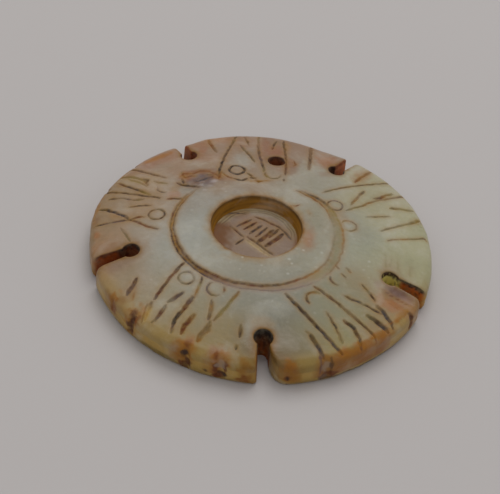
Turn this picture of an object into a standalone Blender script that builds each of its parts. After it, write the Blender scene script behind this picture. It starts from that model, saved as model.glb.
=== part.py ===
"""Jade bi disc: a low dome with a blind recess, five keyhole notches, a string hole and engraved cuts.

The disc lies on its flat underside, which is at height zero, and the origin is under its middle.
Bearings are in degrees, from +X towards +Y.
"""

import math

import bmesh
import bpy
from mathutils import Matrix, Vector

MM = 0.001

# Body
RIM_RADIUS = 29.7 * MM
CROWN_HEIGHT = 7.4 * MM
RIM_HEIGHT = 4.6 * MM
SHOULDER_ROUND = 1.0 * MM
LOWER_EDGE_ROUND = 0.6 * MM
BODY_STEPS = 96
DOME_RINGS = 5
ROUND_STEPS = 3

# Recess in the middle
RECESS_RADIUS = 7.9 * MM
RECESS_WALL_LEAN = 0.6 * MM
RECESS_DEPTH = 2.7 * MM
RECESS_STEPS = 48

# Keyhole notches and string hole
KEYHOLE_RADIUS = 1.65 * MM
SLOT_WIDTH = 1.75 * MM
STRING_HOLE_RADIUS = 1.6 * MM
HOLE_STEPS = 24

# Engraving
RING_RADIUS = 14.5 * MM
RING_CUT = 0.8 * MM
SECOND_RING_GAP = 1.2 * MM
SECOND_RING_CUT = 0.4 * MM
DRILLED_CIRCLE_RADIUS = 1.35 * MM
DRILLED_CIRCLE_CUT = 0.5 * MM
FINE_CUT = 0.5 * MM
COMMON_CUT = 0.65 * MM
FAT_CUT = 0.9 * MM
CUT_END_TAPER = 0.9 * MM
CUT_END_SHARE = 0.2
RING_STEPS = 60
CIRCLE_STEPS = 16

# Damage
NICK_WIDTH = 1.1 * MM
NICK_FOOT = 1.2 * MM
FLAKE_LENGTH = 6.0 * MM
FLAKE_WIDTH = 4.6 * MM
FLAKE_DEPTH = 0.6 * MM

CLEARANCE = 1.0 * MM

# The places below are in millimetres on a drawing of a disc with this rim radius.
# They keep their share of the disc when its rim radius changes.
DRAWN_RIM_RADIUS = 29.7
DRAWN_MM = RIM_RADIUS / DRAWN_RIM_RADIUS

RECESS_PLACE = (-1.3, -0.1)
STRING_HOLE_PLACE = (1.1, 19.8)
FLAKE_PLACE = (23.3, -12.2)
FLAKE_BEARING = 340

# Where the hand-made outline swells or is worn in: bearing, spread in degrees, amount
OUTLINE_SWELLS = (
    (25, 16, 0.3),
    (70, 14, -1.0),
    (124, 6, -0.6),
    (172, 16, 0.4),
    (312, 14, -0.3),
)

# Keyhole notches: middle of the drilled hole, direction of the slot, width of its mouth
KEYHOLES = {
    "left": (-21.75, -8.2, 208, 2.3),
    "near": (1.6, -24.2, 271.5, 2.6),
    "right": (21.9, -8.0, 339, 2.4),
    "far_right": (12.4, 19.5, 57, 2.4),
    "far_left": (-15.3, 19.4, 119, 3.0),
}

# Bearings, about the recess, between which the ring and the line outside it are still cut
RING_STRETCH = (96, 415)
SECOND_RING_STRETCH = (262, 372)

DRILLED_CIRCLES = (
    (-6.0, 15.3),
    (0.7, 15.0),
    (12.2, 8.1),
    (14.7, 3.0),
    (13.0, -10.4),
    (9.3, -15.5),
    (-6.8, -15.8),
    (-11.8, -14.0),
    (-18.7, 0.8),
    (-18.3, 8.3),
)

# Engraved cuts, panel by panel between the notches: width, then the places it runs through
CUTS = {
    "left": (
        (COMMON_CUT, (-25.5, 14.1), (-18.6, 11.5)),
        (FINE_CUT, (-26.8, 11.5), (-21.7, 9.3)),
        (COMMON_CUT, (-26.8, 9.7), (-21.6, 7.0)),
        (COMMON_CUT, (-28.4, 7.1), (-24.5, 6.6), (-18.8, 5.4)),
        (FINE_CUT, (-17.6, 5.2), (-14.9, 5.4)),
        (FINE_CUT, (-27.6, 5.0), (-22.0, 4.7)),
        (FINE_CUT, (-23.7, 2.7), (-20.0, 3.2)),
        (FAT_CUT, (-28.8, 2.2), (-23.5, -0.5), (-18.1, -3.0)),
        (COMMON_CUT, (-28.7, -2.4), (-23.0, -0.8), (-20.9, 0.0)),
    ),
    "near_left": (
        (COMMON_CUT, (-19.8, -14.6), (-20.8, -17.9)),
        (COMMON_CUT, (-12.5, -11.2), (-14.8, -15.2), (-17.2, -22.5)),
        (COMMON_CUT, (-12.0, -17.2), (-15.2, -21.8)),
        (COMMON_CUT, (-9.2, -13.6), (-10.0, -17.8), (-12.8, -24.8)),
        (FAT_CUT, (-9.7, -21.3), (-11.2, -24.9)),
        (FINE_CUT, (-7.2, -18.4), (-7.2, -21.8)),
        (COMMON_CUT, (-3.2, -16.0), (-5.3, -20.5), (-8.5, -26.0)),
        (COMMON_CUT, (-2.1, -22.8), (-2.1, -24.8)),
    ),
    "near_right": (
        (COMMON_CUT, (8.1, -22.1), (11.3, -26.5)),
        (COMMON_CUT, (4.8, -15.6), (14.0, -25.1)),
        (FINE_CUT, (11.3, -17.9), (13.0, -20.5), (14.1, -23.0)),
        (COMMON_CUT, (14.1, -18.9), (16.1, -20.8), (17.2, -23.5)),
        (COMMON_CUT, (9.1, -12.9), (12.9, -15.5), (19.7, -21.6)),
        (FAT_CUT, (18.1, -17.1), (21.4, -19.3)),
        (FINE_CUT, (14.0, -13.9), (20.3, -16.0)),
        (COMMON_CUT, (17.0, -10.8), (20.0, -15.0), (22.1, -18.3)),
    ),
    "right": (
        (FINE_CUT, (21.6, 1.2), (28.5, 4.0)),
        (COMMON_CUT, (20.6, 3.3), (28.0, 8.6)),
        (FINE_CUT, (18.9, 6.9), (22.4, 8.0)),
        (FINE_CUT, (22.4, 10.5), (25.7, 11.3)),
        (COMMON_CUT, (14.5, 7.2), (20.0, 11.7), (25.3, 15.6)),
        (COMMON_CUT, (19.5, 12.4), (22.8, 15.3)),
        (FINE_CUT, (15.0, 8.9), (17.6, 14.4)),
        (COMMON_CUT, (10.0, 11.4), (15.2, 14.9), (22.8, 18.8)),
        (COMMON_CUT, (16.0, 16.8), (19.1, 21.6)),
    ),
    "far": (
        (COMMON_CUT, (-7.0, 27.9), (-8.2, 21.3), (-9.1, 15.5), (-9.1, 12.1)),
        (FINE_CUT, (-6.0, 24.3), (-2.9, 18.5)),
        (FINE_CUT, (-5.4, 27.4), (-4.2, 24.5)),
        (COMMON_CUT, (-2.7, 28.2), (-2.0, 20.0), (-0.5, 13.9)),
        (FINE_CUT, (0.6, 27.1), (0.0, 24.0)),
        (COMMON_CUT, (2.1, 27.4), (2.9, 20.0), (2.8, 13.5)),
        (COMMON_CUT, (7.5, 26.8), (7.2, 18.2)),
        (COMMON_CUT, (-12.3, 25.3), (-10.2, 21.0)),
    ),
}

# Bearings of the nicks cut down the rim's wall
NICKS = (148.5, 164, 229, 250.5, 262, 281.5, 293.5, 328.5)

JADE = (0.42, 0.40, 0.31, 1.0)
JADE_ROUGHNESS = 0.35


def clear_scene():
    for thing in list(bpy.data.objects):
        bpy.data.objects.remove(thing)


def new_collection(name):
    found = bpy.data.collections.new(name)
    bpy.context.scene.collection.children.link(found)
    return found


def jade_material():
    material = bpy.data.materials.new("jade")
    material.use_nodes = True
    shader = material.node_tree.nodes["Principled BSDF"]
    shader.inputs["Base Color"].default_value = JADE
    shader.inputs["Roughness"].default_value = JADE_ROUGHNESS
    shader.inputs["Metallic"].default_value = 0.0
    material.diffuse_color = JADE
    return material


def place(spot):
    """A place of the drawing, in metres on the disc."""
    return Vector((spot[0] * DRAWN_MM, spot[1] * DRAWN_MM))


def towards(bearing, distance):
    angle = math.radians(bearing)
    return Vector((math.cos(angle), math.sin(angle))) * distance


def crown(spot):
    """Height of the domed face over the underside at a spot in metres."""
    share = spot.length_squared / RIM_RADIUS**2
    return CROWN_HEIGHT - (CROWN_HEIGHT - RIM_HEIGHT) * share


def rim_radius(bearing):
    """Radius of the outline at a bearing, with its swells and worn stretches."""
    radius = RIM_RADIUS
    for middle, spread, amount in OUTLINE_SWELLS:
        turn = (bearing - middle + 180) % 360 - 180
        radius += amount * DRAWN_MM * math.exp(-((turn / spread) ** 2))
    return radius


def quarter_round(radius, height, size, first, last):
    """Points of a rounded edge of this size whose outermost point is at this radius."""
    points = []
    for step in range(ROUND_STEPS + 1):
        angle = math.radians(first + (last - first) * step / ROUND_STEPS)
        points.append((radius - size + size * math.cos(angle), height + size * math.sin(angle)))
    return points


def body_profile():
    """Half section of the disc, from the top of the dome out, down the wall and in below."""
    dome_end = RIM_RADIUS - SHOULDER_ROUND
    points = []
    for ring in range(DOME_RINGS):
        radius = dome_end * ring / DOME_RINGS
        points.append((radius, crown(Vector((radius, 0)))))
    shoulder = crown(Vector((dome_end, 0))) - SHOULDER_ROUND
    points += quarter_round(RIM_RADIUS, shoulder, SHOULDER_ROUND, 90, 0)
    points += quarter_round(RIM_RADIUS, LOWER_EDGE_ROUND, LOWER_EDGE_ROUND, 0, -90)
    points.append((0, 0))
    return points


def turned_body():
    """The disc before it is cut: a turned solid whose outline is then worn out of round."""
    profile = bpy.data.meshes.new("profile")
    points = [(radius, 0, height) for radius, height in body_profile()]
    edges = [(number, number + 1) for number in range(len(points) - 1)]
    profile.from_pydata(points, edges, [])
    turned = bpy.data.objects.new("turned_profile", profile)
    bpy.context.scene.collection.objects.link(turned)
    screw = turned.modifiers.new("turn", "SCREW")
    screw.steps = BODY_STEPS
    screw.render_steps = BODY_STEPS
    screw.use_merge_vertices = True
    screw.merge_threshold = 0.00001
    mesh = mesh_from(turned)
    for vertex in mesh.vertices:
        flat = Vector(vertex.co[:2])
        bearing = math.degrees(math.atan2(flat.y, flat.x))
        growth = rim_radius(bearing) / RIM_RADIUS - 1
        reach = (flat.length / RIM_RADIUS) ** 4
        vertex.co.x *= 1 + growth * reach
        vertex.co.y *= 1 + growth * reach
    return mesh


def mesh_from(source):
    """The evaluated mesh of an object, which is then removed, with loose caps welded on."""
    graph = bpy.context.evaluated_depsgraph_get()
    mesh = bpy.data.meshes.new_from_object(source.evaluated_get(graph))
    mesh.transform(source.matrix_world)
    bpy.data.objects.remove(source)
    shape = bmesh.new()
    shape.from_mesh(mesh)
    bmesh.ops.remove_doubles(shape, verts=shape.verts, dist=0.000001)
    bmesh.ops.recalc_face_normals(shape, faces=shape.faces)
    shape.to_mesh(mesh)
    shape.free()
    return mesh


def add_cutter(name, mesh):
    cutter = bpy.data.objects.new(name, mesh)
    cutter.display_type = "WIRE"
    cutter.hide_render = True
    cutters.objects.link(cutter)
    return cutter


def round_cutter(name, middle, low, low_radius, high, high_radius, sides):
    """An upright round or tapered cutter between two heights."""
    shape = bmesh.new()
    bmesh.ops.create_cone(
        shape,
        cap_ends=True,
        segments=sides,
        radius1=low_radius,
        radius2=high_radius,
        depth=high - low,
        matrix=Matrix.Translation((middle.x, middle.y, (low + high) / 2)),
    )
    mesh = bpy.data.meshes.new(name)
    shape.to_mesh(mesh)
    shape.free()
    return add_cutter(name, mesh)


def cut_recess():
    """A blind recess whose wall leans in towards its floor and runs on past the dome."""
    middle = place(RECESS_PLACE)
    floor = crown(middle + towards(0, RECESS_RADIUS)) - RECESS_DEPTH
    top = CROWN_HEIGHT + CLEARANCE
    lean = RECESS_WALL_LEAN / RECESS_DEPTH
    floor_radius = RECESS_RADIUS - RECESS_WALL_LEAN
    top_radius = floor_radius + lean * (top - floor)
    round_cutter("recess", middle, floor, floor_radius, top, top_radius, RECESS_STEPS)


def cut_keyholes():
    """Five drilled holes, each with a slot that opens through the rim."""
    low = -CLEARANCE
    high = CROWN_HEIGHT + CLEARANCE
    for name, (x, y, bearing, mouth) in KEYHOLES.items():
        middle = place((x, y))
        radius = KEYHOLE_RADIUS
        round_cutter(f"keyhole_{name}", middle, low, radius, high, radius, HOLE_STEPS)
        reach = 2 * (RIM_RADIUS - middle.length)
        mouth_widening = mouth * MM / SLOT_WIDTH
        shape = bmesh.new()
        bmesh.ops.create_cube(shape, size=1)
        for vertex in shape.verts:
            along = (vertex.co.x + 0.5) * reach
            widening = 1 + (mouth_widening - 1) * 2 * along / reach if along > 0 else 1
            side = vertex.co.y * SLOT_WIDTH * widening
            level = low if vertex.co.z < 0 else high
            vertex.co = (along, side, level)
        mesh = bpy.data.meshes.new(f"slot_{name}")
        shape.to_mesh(mesh)
        shape.free()
        spot = Matrix.Translation((middle.x, middle.y, 0))
        mesh.transform(spot @ Matrix.Rotation(math.radians(bearing), 4, "Z"))
        add_cutter(f"slot_{name}", mesh)
    middle = place(STRING_HOLE_PLACE)
    radius = STRING_HOLE_RADIUS
    round_cutter("string_hole", middle, low, radius, high, radius, HOLE_STEPS)


def groove(name, path, width, closed):
    """A V-shaped cutter along (spot, share of the width) pairs, with its middle on the dome."""
    curve = bpy.data.curves.new(name, "CURVE")
    curve.dimensions = "3D"
    curve.twist_mode = "Z_UP"
    curve.bevel_depth = width / 2
    curve.bevel_resolution = 0
    curve.use_fill_caps = True
    spline = curve.splines.new("POLY")
    spline.points.add(len(path) - 1)
    for point, (spot, share) in zip(spline.points, path):
        point.co = (spot.x, spot.y, crown(spot), 1)
        point.radius = share
    spline.use_cyclic_u = closed
    tube = bpy.data.objects.new(name, curve)
    bpy.context.scene.collection.objects.link(tube)
    return add_cutter(name, mesh_from(tube))


def tapered(spots):
    """Spots of a cut with its two ends narrowed over the taper's length."""
    first = (spots[1] - spots[0]).normalized() * CUT_END_TAPER
    last = (spots[-2] - spots[-1]).normalized() * CUT_END_TAPER
    path = [(spots[0], CUT_END_SHARE), (spots[0] + first, 1)]
    path += [(spot, 1) for spot in spots[1:-1]]
    path += [(spots[-1] + last, 1), (spots[-1], CUT_END_SHARE)]
    return path


def arc(middle, radius, first, last, steps):
    turn = (last - first) / steps
    return [middle + towards(first + turn * step, radius) for step in range(steps + 1)]


def cut_engraving():
    """The ring round the recess, the tube-drilled circles and the free cuts."""
    recess = place(RECESS_PLACE)
    spots = arc(recess, RING_RADIUS, *RING_STRETCH, RING_STEPS)
    groove("ring", tapered(spots), RING_CUT, False)
    outer = RING_RADIUS + SECOND_RING_GAP
    spots = arc(recess, outer, *SECOND_RING_STRETCH, RING_STEPS // 3)
    groove("second_ring", tapered(spots), SECOND_RING_CUT, False)
    for number, spot in enumerate(DRILLED_CIRCLES, start=1):
        spots = arc(place(spot), DRILLED_CIRCLE_RADIUS, 0, 360, CIRCLE_STEPS)
        path = [(found, 1) for found in spots[:-1]]
        groove(f"drilled_circle_{number}", path, DRILLED_CIRCLE_CUT, True)
    for panel, cuts in CUTS.items():
        for number, (width, *spots) in enumerate(cuts, start=1):
            path = tapered([place(spot) for spot in spots])
            groove(f"cut_{panel}_{number}", path, width, False)


def cut_damage():
    """Nicks down the rim's wall, and the flake lost beside the right-hand notch."""
    for number, bearing in enumerate(NICKS, start=1):
        middle = towards(bearing, rim_radius(bearing))
        high = CROWN_HEIGHT + CLEARANCE
        nick = round_cutter(f"nick_{number}", middle, NICK_FOOT, NICK_WIDTH / 2, high, NICK_WIDTH / 2, 6)
        turn = Matrix.Rotation(math.radians(bearing), 4, "Z")
        spot = Matrix.Translation((middle.x, middle.y, 0))
        nick.data.transform(spot @ turn @ spot.inverted())
    middle = place(FLAKE_PLACE)
    shape = bmesh.new()
    bmesh.ops.create_uvsphere(shape, u_segments=20, v_segments=10, radius=0.5)
    mesh = bpy.data.meshes.new("flake")
    shape.to_mesh(mesh)
    shape.free()
    stretch = Matrix.Diagonal((FLAKE_LENGTH, FLAKE_WIDTH, 2 * FLAKE_DEPTH, 1))
    slope = 2 * (CROWN_HEIGHT - RIM_HEIGHT) / RIM_RADIUS**2
    up = Vector((middle.x * slope, middle.y * slope, 1)).normalized()
    lean = Vector((0, 0, 1)).rotation_difference(up).to_matrix().to_4x4()
    turn = Matrix.Rotation(math.radians(FLAKE_BEARING), 4, "Z")
    spot = Matrix.Translation((middle.x, middle.y, crown(middle)))
    mesh.transform(spot @ lean @ turn @ stretch)
    add_cutter("flake", mesh)


def carve_disc():
    disc = bpy.data.objects.new("jade_disc", turned_body())
    parts.objects.link(disc)
    disc.data.materials.append(jade_material())
    cut_recess()
    cut_keyholes()
    cut_engraving()
    cut_damage()
    carve = disc.modifiers.new("carve", "BOOLEAN")
    carve.operation = "DIFFERENCE"
    carve.solver = "EXACT"
    carve.operand_type = "COLLECTION"
    carve.collection = cutters
    disc.data.shade_smooth()
    disc.data.set_sharp_from_angle(angle=math.radians(30))


clear_scene()
parts = new_collection("Jade bi disc")
cutters = new_collection("Cutters")
carve_disc()
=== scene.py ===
"""Looks of the jade bi disc: the carved and stained stone, on a plain floor in soft light.

Lengths are in metres unless a name or a comment says otherwise. Places on the disc are written in
millimetres, seen from above, and bearings in degrees from +X towards +Y. The disc lies on its flat
underside at height zero, with its middle over the origin.
"""

import math

import bpy
import numpy as np
from mathutils import Matrix, Vector


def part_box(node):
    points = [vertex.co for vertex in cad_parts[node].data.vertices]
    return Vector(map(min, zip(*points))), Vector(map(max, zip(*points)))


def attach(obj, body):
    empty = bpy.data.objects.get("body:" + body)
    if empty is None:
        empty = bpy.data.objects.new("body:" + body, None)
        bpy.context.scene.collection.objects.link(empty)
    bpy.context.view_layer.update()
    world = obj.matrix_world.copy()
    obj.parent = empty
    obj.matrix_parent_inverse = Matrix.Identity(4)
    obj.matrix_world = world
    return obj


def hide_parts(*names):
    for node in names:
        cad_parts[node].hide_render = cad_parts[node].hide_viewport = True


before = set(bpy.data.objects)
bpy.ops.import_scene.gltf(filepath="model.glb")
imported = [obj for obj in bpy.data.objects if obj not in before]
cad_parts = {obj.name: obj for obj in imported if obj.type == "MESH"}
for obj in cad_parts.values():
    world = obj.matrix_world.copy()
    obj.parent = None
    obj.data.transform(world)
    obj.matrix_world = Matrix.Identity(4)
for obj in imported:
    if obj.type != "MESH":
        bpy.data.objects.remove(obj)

bl_info = {
    "name": "Jade bi disc",
    "version": (1, 0, 0),
    "blender": (4, 5, 0),
    "location": "3D View > Sidebar > Jade bi disc",
    "description": "Models a carved and stained jade bi disc on a plain floor",
    "category": "Add Mesh",
}

MM = 0.001
CAD_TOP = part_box("jade_disc")[1].z / MM

# Radius in millimetres at which places round the rim are measured
RIM_REACH = 29

# Unsteadiness of the hand that engraved the stone: amount, size and seed
HAND_WOBBLE = (0.05, 1.1, 1)
FLOOR_MARK_DEPTH = 0.26

# The flake lost beside the right-hand notch: its middle and the bearing of its long side
FLAKE_PLACE = (23.3, -12, -20)

LIGHT_COLOUR = (1.0, 0.985, 0.97)

# Out-of-round stretches of the outline: bearing, spread in degrees, amount in millimetres
OUTLINE_SWELLS = (
    (25, 16, 0.3),
    (70, 14, -1),
    (124, 6, -0.6),
    (172, 16, 0.4),
    (312, 14, -0.3),
)
RECESS_PLACE = (-1.3, -0.1)
STRING_HOLE_PLACE = (1.1, 19.8)

# Keyhole notches: middle of the drilled hole, direction of the slot, width of its mouth, how far the
# mouth's corners are worn round, first the one on the side of smaller bearings, and the slot's lean
KEYHOLES = (
    (-21.75, -8.2, 208, 2.3, 0.8, 0.9, 0),
    (1.6, -24.2, 272.5, 1.9, 0.7, 4.7, 0.35),
    (21.9, -8, 339, 2.4, 1.3, 0.7, 0),
    (12.4, 19.5, 57, 2.2, 1.6, 1.4, 0),
    (-15.3, 19.4, 119, 2.2, 0.6, 1.3, 0),
)

# Stains, and one painted highlight: colour, and how far they hide the jade. This colour and those below
# are as they show in plain daylight, from 0 to 255.
TONES = {
    "black": ((40, 26, 18), 0.95),
    "dark": ((58, 38, 28), 0.92),
    "brown": ((92, 64, 36), 0.88),
    "redbrown": ((102, 50, 22), 0.9),
    "rust": ((128, 74, 30), 0.85),
    "amber": ((154, 108, 48), 0.78),
    "tan": ((142, 110, 74), 0.6),
    "olive": ((118, 98, 52), 0.76),
    "yellow": ((150, 130, 72), 0.66),
    "pale": ((170, 148, 108), 0.6),
    "slate": ((68, 60, 64), 0.88),
    "purple": ((98, 74, 70), 0.8),
    "faint": ((130, 112, 78), 0.45),
    "orange": ((160, 106, 40), 0.75),
    "pink": ((172, 156, 138), 0.6),
    "umber": ((84, 42, 16), 0.92),
    "cream": ((200, 170, 108), 0.85),
    "haze": ((134, 126, 84), 0.5),
    "mauve": ((132, 110, 104), 0.6),
    # Painted highlight: the lit near bank of a groove on the recess's floor
    "bright": ((196, 174, 138), 0.9),
    "none": ((134, 110, 82), 0),
}

# How much darker a stain is in the stone than it shows
STAIN_SHADE = 0.85

# The warm stain beside a cut and round an opening, and the colours of the recess
CUT_HALO = (150, 114, 58)
OPENING_HALO = (128, 92, 40)
RECESS = {
    "wall": (148, 106, 46),
    "wall top": (60, 36, 12),
    "halo": (150, 118, 66),
    "lip": (132, 92, 34),
    "floor": (142, 122, 106),
    "slope": (168, 150, 116),
    "rings": (84, 60, 44),
    "left": (112, 70, 12),
    "rust": (140, 96, 64),
    "right": (128, 84, 40),
}

# Engraved cuts: width in millimetres, the stain at each place, and the places that the cut runs through
CUTS = (
    (0.6, "brown brown brown tan", -25.8, 15.6, -25.2, 14.2, -22.4, 13, -18.4, 11.4),
    (0.75, "olive yellow yellow tan", -26.8, 11.6, -24.8, 11.6, -22.3, 10.6, -21.5, 9.1),
    (0.5, "yellow yellow faint", -25.4, 10.9, -23.4, 10.1, -21.6, 8.8),
    (0.7, "olive dark rust", -22.6, 11.1, -21.7, 10.6, -22, 9.8),
    (0.5, "yellow olive yellow", -20.6, 10.4, -19.6, 9.9, -18.2, 9.7),
    (0.65, "redbrown brown dark dark olive", -26.8, 9.7, -25.5, 8.8, -24.8, 8.5, -22.8, 7.5,
     -21.6, 6.8),
    (0.6, "yellow yellow", -22.6, 7.3, -20.5, 6.1),
    (0.55, "dark brown dark brown brown black brown dark brown dark", -29.1, 8.4, -28.9, 7.4,
     -28.4, 7, -27.2, 6.9, -25, 6.7, -24.4, 6.4, -22.9, 6.2, -22, 6, -20.6, 5.7, -18.7, 5.4),
    (0.6, "rust redbrown dark black", -17.5, 5.1, -16.8, 5.3, -15.9, 5.4, -14.8, 5.4),
    (0.6, "olive brown faint faint purple faint", -27.7, 4.9, -27, 5.1, -26.1, 5.1, -25.3, 5.2,
     -24.2, 4.9, -23.5, 4.7),
    (0.8, "faint yellow faint", -23.3, 4.6, -22.3, 4.8, -21.6, 4.9),
    (0.5, "olive brown dark brown", -23.8, 2.6, -23.2, 2.8, -21.3, 3.1, -20, 3.2),
    (0.75, "olive dark slate slate dark", -28.9, 2.1, -27.5, 1.9, -26, 1.2, -24, 0.1, -23.4, -0.7),
    (0.6, "purple redbrown rust brown", -23.3, -0.7, -22, -1.2, -20, -2.3, -18, -3),
    (0.55, "olive dark purple faint purple purple dark", -28.8, -2.4, -28.1, -2.1, -26.9, -1.7,
     -26.4, -1.5, -25.9, -1.4, -24.8, -1.1, -23, -0.7),
    (0.55, "brown rust amber", -23, -0.6, -21.4, 0.1, -20.8, 0),
    (0.5, "faint olive olive", -24.4, -2.9, -22.9, -5.1, -22.2, -6.3),
    (0.95, "umber purple purple purple", -19.8, -14.6, -20.1, -16, -20.6, -17.3, -20.8, -18),
    (0.7, "umber brown rust brown redbrown slate", -12.4, -10.6, -13.2, -11.8, -14, -13.3,
     -15, -15.5, -15.8, -17.5, -16.3, -18.7),
    (0.9, "tan cream cream", -16.6, -19.4, -16.9, -21, -17.2, -22.8),
    (0.5, "faint amber olive", -17.2, -19.8, -17.4, -21, -17.6, -23.2),
    (0.9, "purple purple faint", -12, -17.2, -13, -18.2, -14, -19.1),
    (0.75, "faint redbrown purple faint", -14.3, -19.8, -14.9, -21.3, -15.2, -22.2, -15.6, -22.9),
    (0.6, "faint olive", -15.8, -22.8, -16.1, -23.2),
    (0.5, "dark dark yellow amber amber", -9.2, -13.5, -9.3, -14.5, -9.4, -15.2, -9.7, -16.5,
     -10, -17.6),
    (0.85, "purple redbrown dark black slate", -10.2, -17.8, -11.2, -19.9, -12, -21.5, -12.5, -22.5,
     -12.6, -23.6),
    (0.7, "purple faint", -12.6, -23.6, -12.8, -25),
    (0.95, "amber redbrown redbrown rust", -9.6, -21.3, -10.3, -22.6, -10.8, -23.4, -11.2, -24.9),
    (0.7, "purple amber tan brown purple", -7.2, -18.3, -7.1, -19.2, -7.1, -20.3, -7.2, -21.4,
     -7.3, -22),
    (0.8, "faint tan faint", -7, -22.4, -7.2, -24, -8, -25),
    (0.65, "amber yellow yellow tan", -3.1, -16, -4.1, -18.2, -5.5, -20.7, -6.4, -22.1),
    (1, "faint tan amber", -6.9, -23.1, -8, -24.7, -8.5, -26.1),
    (0.6, "faint brown black", -2.2, -22.5, -2.1, -23.5, -2.05, -24.7),
    (0.6, "olive dark", -2.45, -26.4, -2.4, -27),
    (0.5, "faint tan", 8.1, -22, 8.9, -22.7),
    (0.85, "dark black slate purple", 8.9, -22.7, 9.6, -23.8, 10.3, -24.8, 11.3, -26.7),
    (0.7, "brown dark dark brown dark slate slate dark", 4.5, -15.3, 5.6, -16.5, 7, -17.9,
     8.4, -19.4, 9.6, -20.7, 11, -22.1, 13, -24.2, 14.1, -25.2),
    (0.5, "tan brown black tan faint", 11.3, -17.8, 12.1, -19, 12.8, -20.3, 13.4, -21.8, 14.1, -23.3),
    (0.75, "rust black dark brown slate", 14.1, -18.9, 15.1, -19.6, 15.8, -20, 16.2, -21, 16.9, -22),
    (0.9, "slate purple", 16.8, -22.1, 17.1, -23.6),
    (0.6, "rust brown redbrown brown tan brown brown rust", 9.1, -12.9, 10.3, -13.7, 11.3, -14.4,
     12.9, -15.5, 15, -17.3, 17, -18.9, 18.5, -20.2, 19.6, -21.5),
    (1.05, "faint dark slate slate", 17.9, -17, 19.3, -17.8, 20.4, -18.6, 21.5, -19.4),
    (0.5, "tan black brown slate faint dark dark slate", 14, -13.8, 14.8, -14.1, 15.3, -14.3,
     16.4, -14.6, 17.2, -14.9, 17.9, -15.1, 19, -15.6, 20.3, -16.2),
    (0.5, "brown olive faint brown dark", 17, -10.8, 17.9, -11.8, 18.1, -12.1, 18.5, -12.6,
     19.2, -13.7),
    (0.85, "faint slate slate slate dark", 19.5, -14.7, 20.3, -15.4, 21.2, -16.6, 21.8, -17.6,
     22.2, -18.4),
    (0.45, "brown tan amber olive olive brown amber", 21.6, 1.1, 22.6, 1.7, 24.3, 2.4, 26, 3,
     27.2, 3.5, 28.3, 4, 28.8, 3.5),
    (0.55, "faint olive olive olive yellow amber amber", 20.4, 3.2, 21.5, 4.1, 22.8, 5.1, 24, 6,
     25.5, 6.9, 26.8, 8, 27.7, 8.9),
    (0.9, "faint yellow yellow", 25.6, 7.1, 26.9, 8.1, 27.8, 9),
    (0.4, "faint brown tan", 28, 8.2, 28.4, 9.3, 28.3, 10.8),
    (0.45, "none olive olive faint", 17.7, 6.3, 19.2, 6.9, 21, 7.5, 22.4, 8),
    (0.8, "yellow olive yellow yellow faint", 22.3, 10.4, 23, 10.7, 24.2, 11, 25.6, 11.1, 26.7, 11.4),
    (0.6, "faint yellow olive amber tan tan brown", 14.2, 7, 15.5, 8.2, 17, 9.3, 18.3, 10.6, 20, 12,
     22.5, 13.6, 25.3, 15.6),
    (0.85, "tan redbrown amber yellow", 19.5, 12.4, 20.6, 13.1, 21.5, 14.1, 22.8, 15.3),
    (0.7, "faint amber tan brown", 15, 8.9, 15.8, 10.7, 16.6, 12.3, 17.5, 14.2),
    (0.5, "olive olive brown olive brown olive brown tan", 10, 11.4, 11.5, 12.6, 13.5, 13.9,
     15.2, 14.9, 17.3, 16.1, 20, 17.4, 22.7, 18.8, 22.9, 19.5),
    (0.8, "rust amber tan", 15.9, 16.6, 17.4, 19, 19.2, 21.6),
    (0.6, "brown olive brown brown dark black dark rust", -7, 28.4, -7.3, 26.5, -7.8, 23.8,
     -8.3, 21.3, -8.8, 18.5, -9.1, 15.3, -9.1, 13.8, -9.1, 12),
    (0.55, "purple olive brown olive", -6, 24.3, -5.3, 22.8, -4.2, 21, -2.9, 18.5),
    (0.55, "tan brown faint", -5.4, 27.6, -4.9, 26.2, -4.3, 24.6),
    (0.65, "olive tan brown purple dark yellow", -2.7, 28.4, -2.7, 26, -2.4, 22, -2, 20, -1.4, 17.6,
     -1, 15.5),
    (0.55, "olive dark", -0.9, 15, -0.4, 13.8),
    (0.55, "dark brown rust", 0.7, 27.2, 0.3, 25.5, 0.1, 23.9),
    (0.6, "dark brown brown redbrown brown", 2.1, 27.6, 2.3, 25.5, 2.7, 22.5, 2.9, 19, 2.9, 15.2),
    (0.6, "dark dark", 2.8, 14, 2.85, 13.2),
    (0.9, "tan brown tan", 7.5, 26.9, 7.4, 22, 7.2, 18.2),
    (0.85, "amber rust faint", -12.3, 25.5, -11.5, 23.5, -10.3, 20.9),
    (0.5, "rust rust tan", 4.3, 20.5, 4.7, 19.3, 4.3, 18.5),
    (0.45, "tan amber rust brown", -8.8, 14.3, -8.1, 13.4, -7.3, 12.7, -6.2, 12.3),
    (0.65, "brown black black brown", -6.2, 12.3, -5.4, 12.1, -4.8, 12.1, -3.9, 12.7),
    (0.5, "olive dark dark", -4.3, 14.7, -3.4, 13.8, -3, 13.2),
    (0.8, "black dark", -3.3, 13, -2.4, 13.1),
    (0.6, "rust brown amber", -2.5, 12.5, -1.8, 12, -1.1, 12.4),
    (0.7, "redbrown brown black dark brown", -16.4, 10, -15.8, 9.6, -15, 9.3, -13.8, 9.2, -12.3, 9),
    (0.5, "faint dark dark", -15.7, 11.3, -15.4, 10.6, -15.1, 9.9),
    (0.45, "faint amber amber", -15.9, 13.6, -15.5, 12.2, -15, 11.5),
    (0.5, "faint rust", 14.3, -7.5, 15, -8.4),
    (0.5, "faint purple", 12.4, -7.2, 13.1, -8.1),
    (0.35, "amber rust rust", 4.3, 6, 5.1, 6.1, 5.9, 6.6),
)

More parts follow.
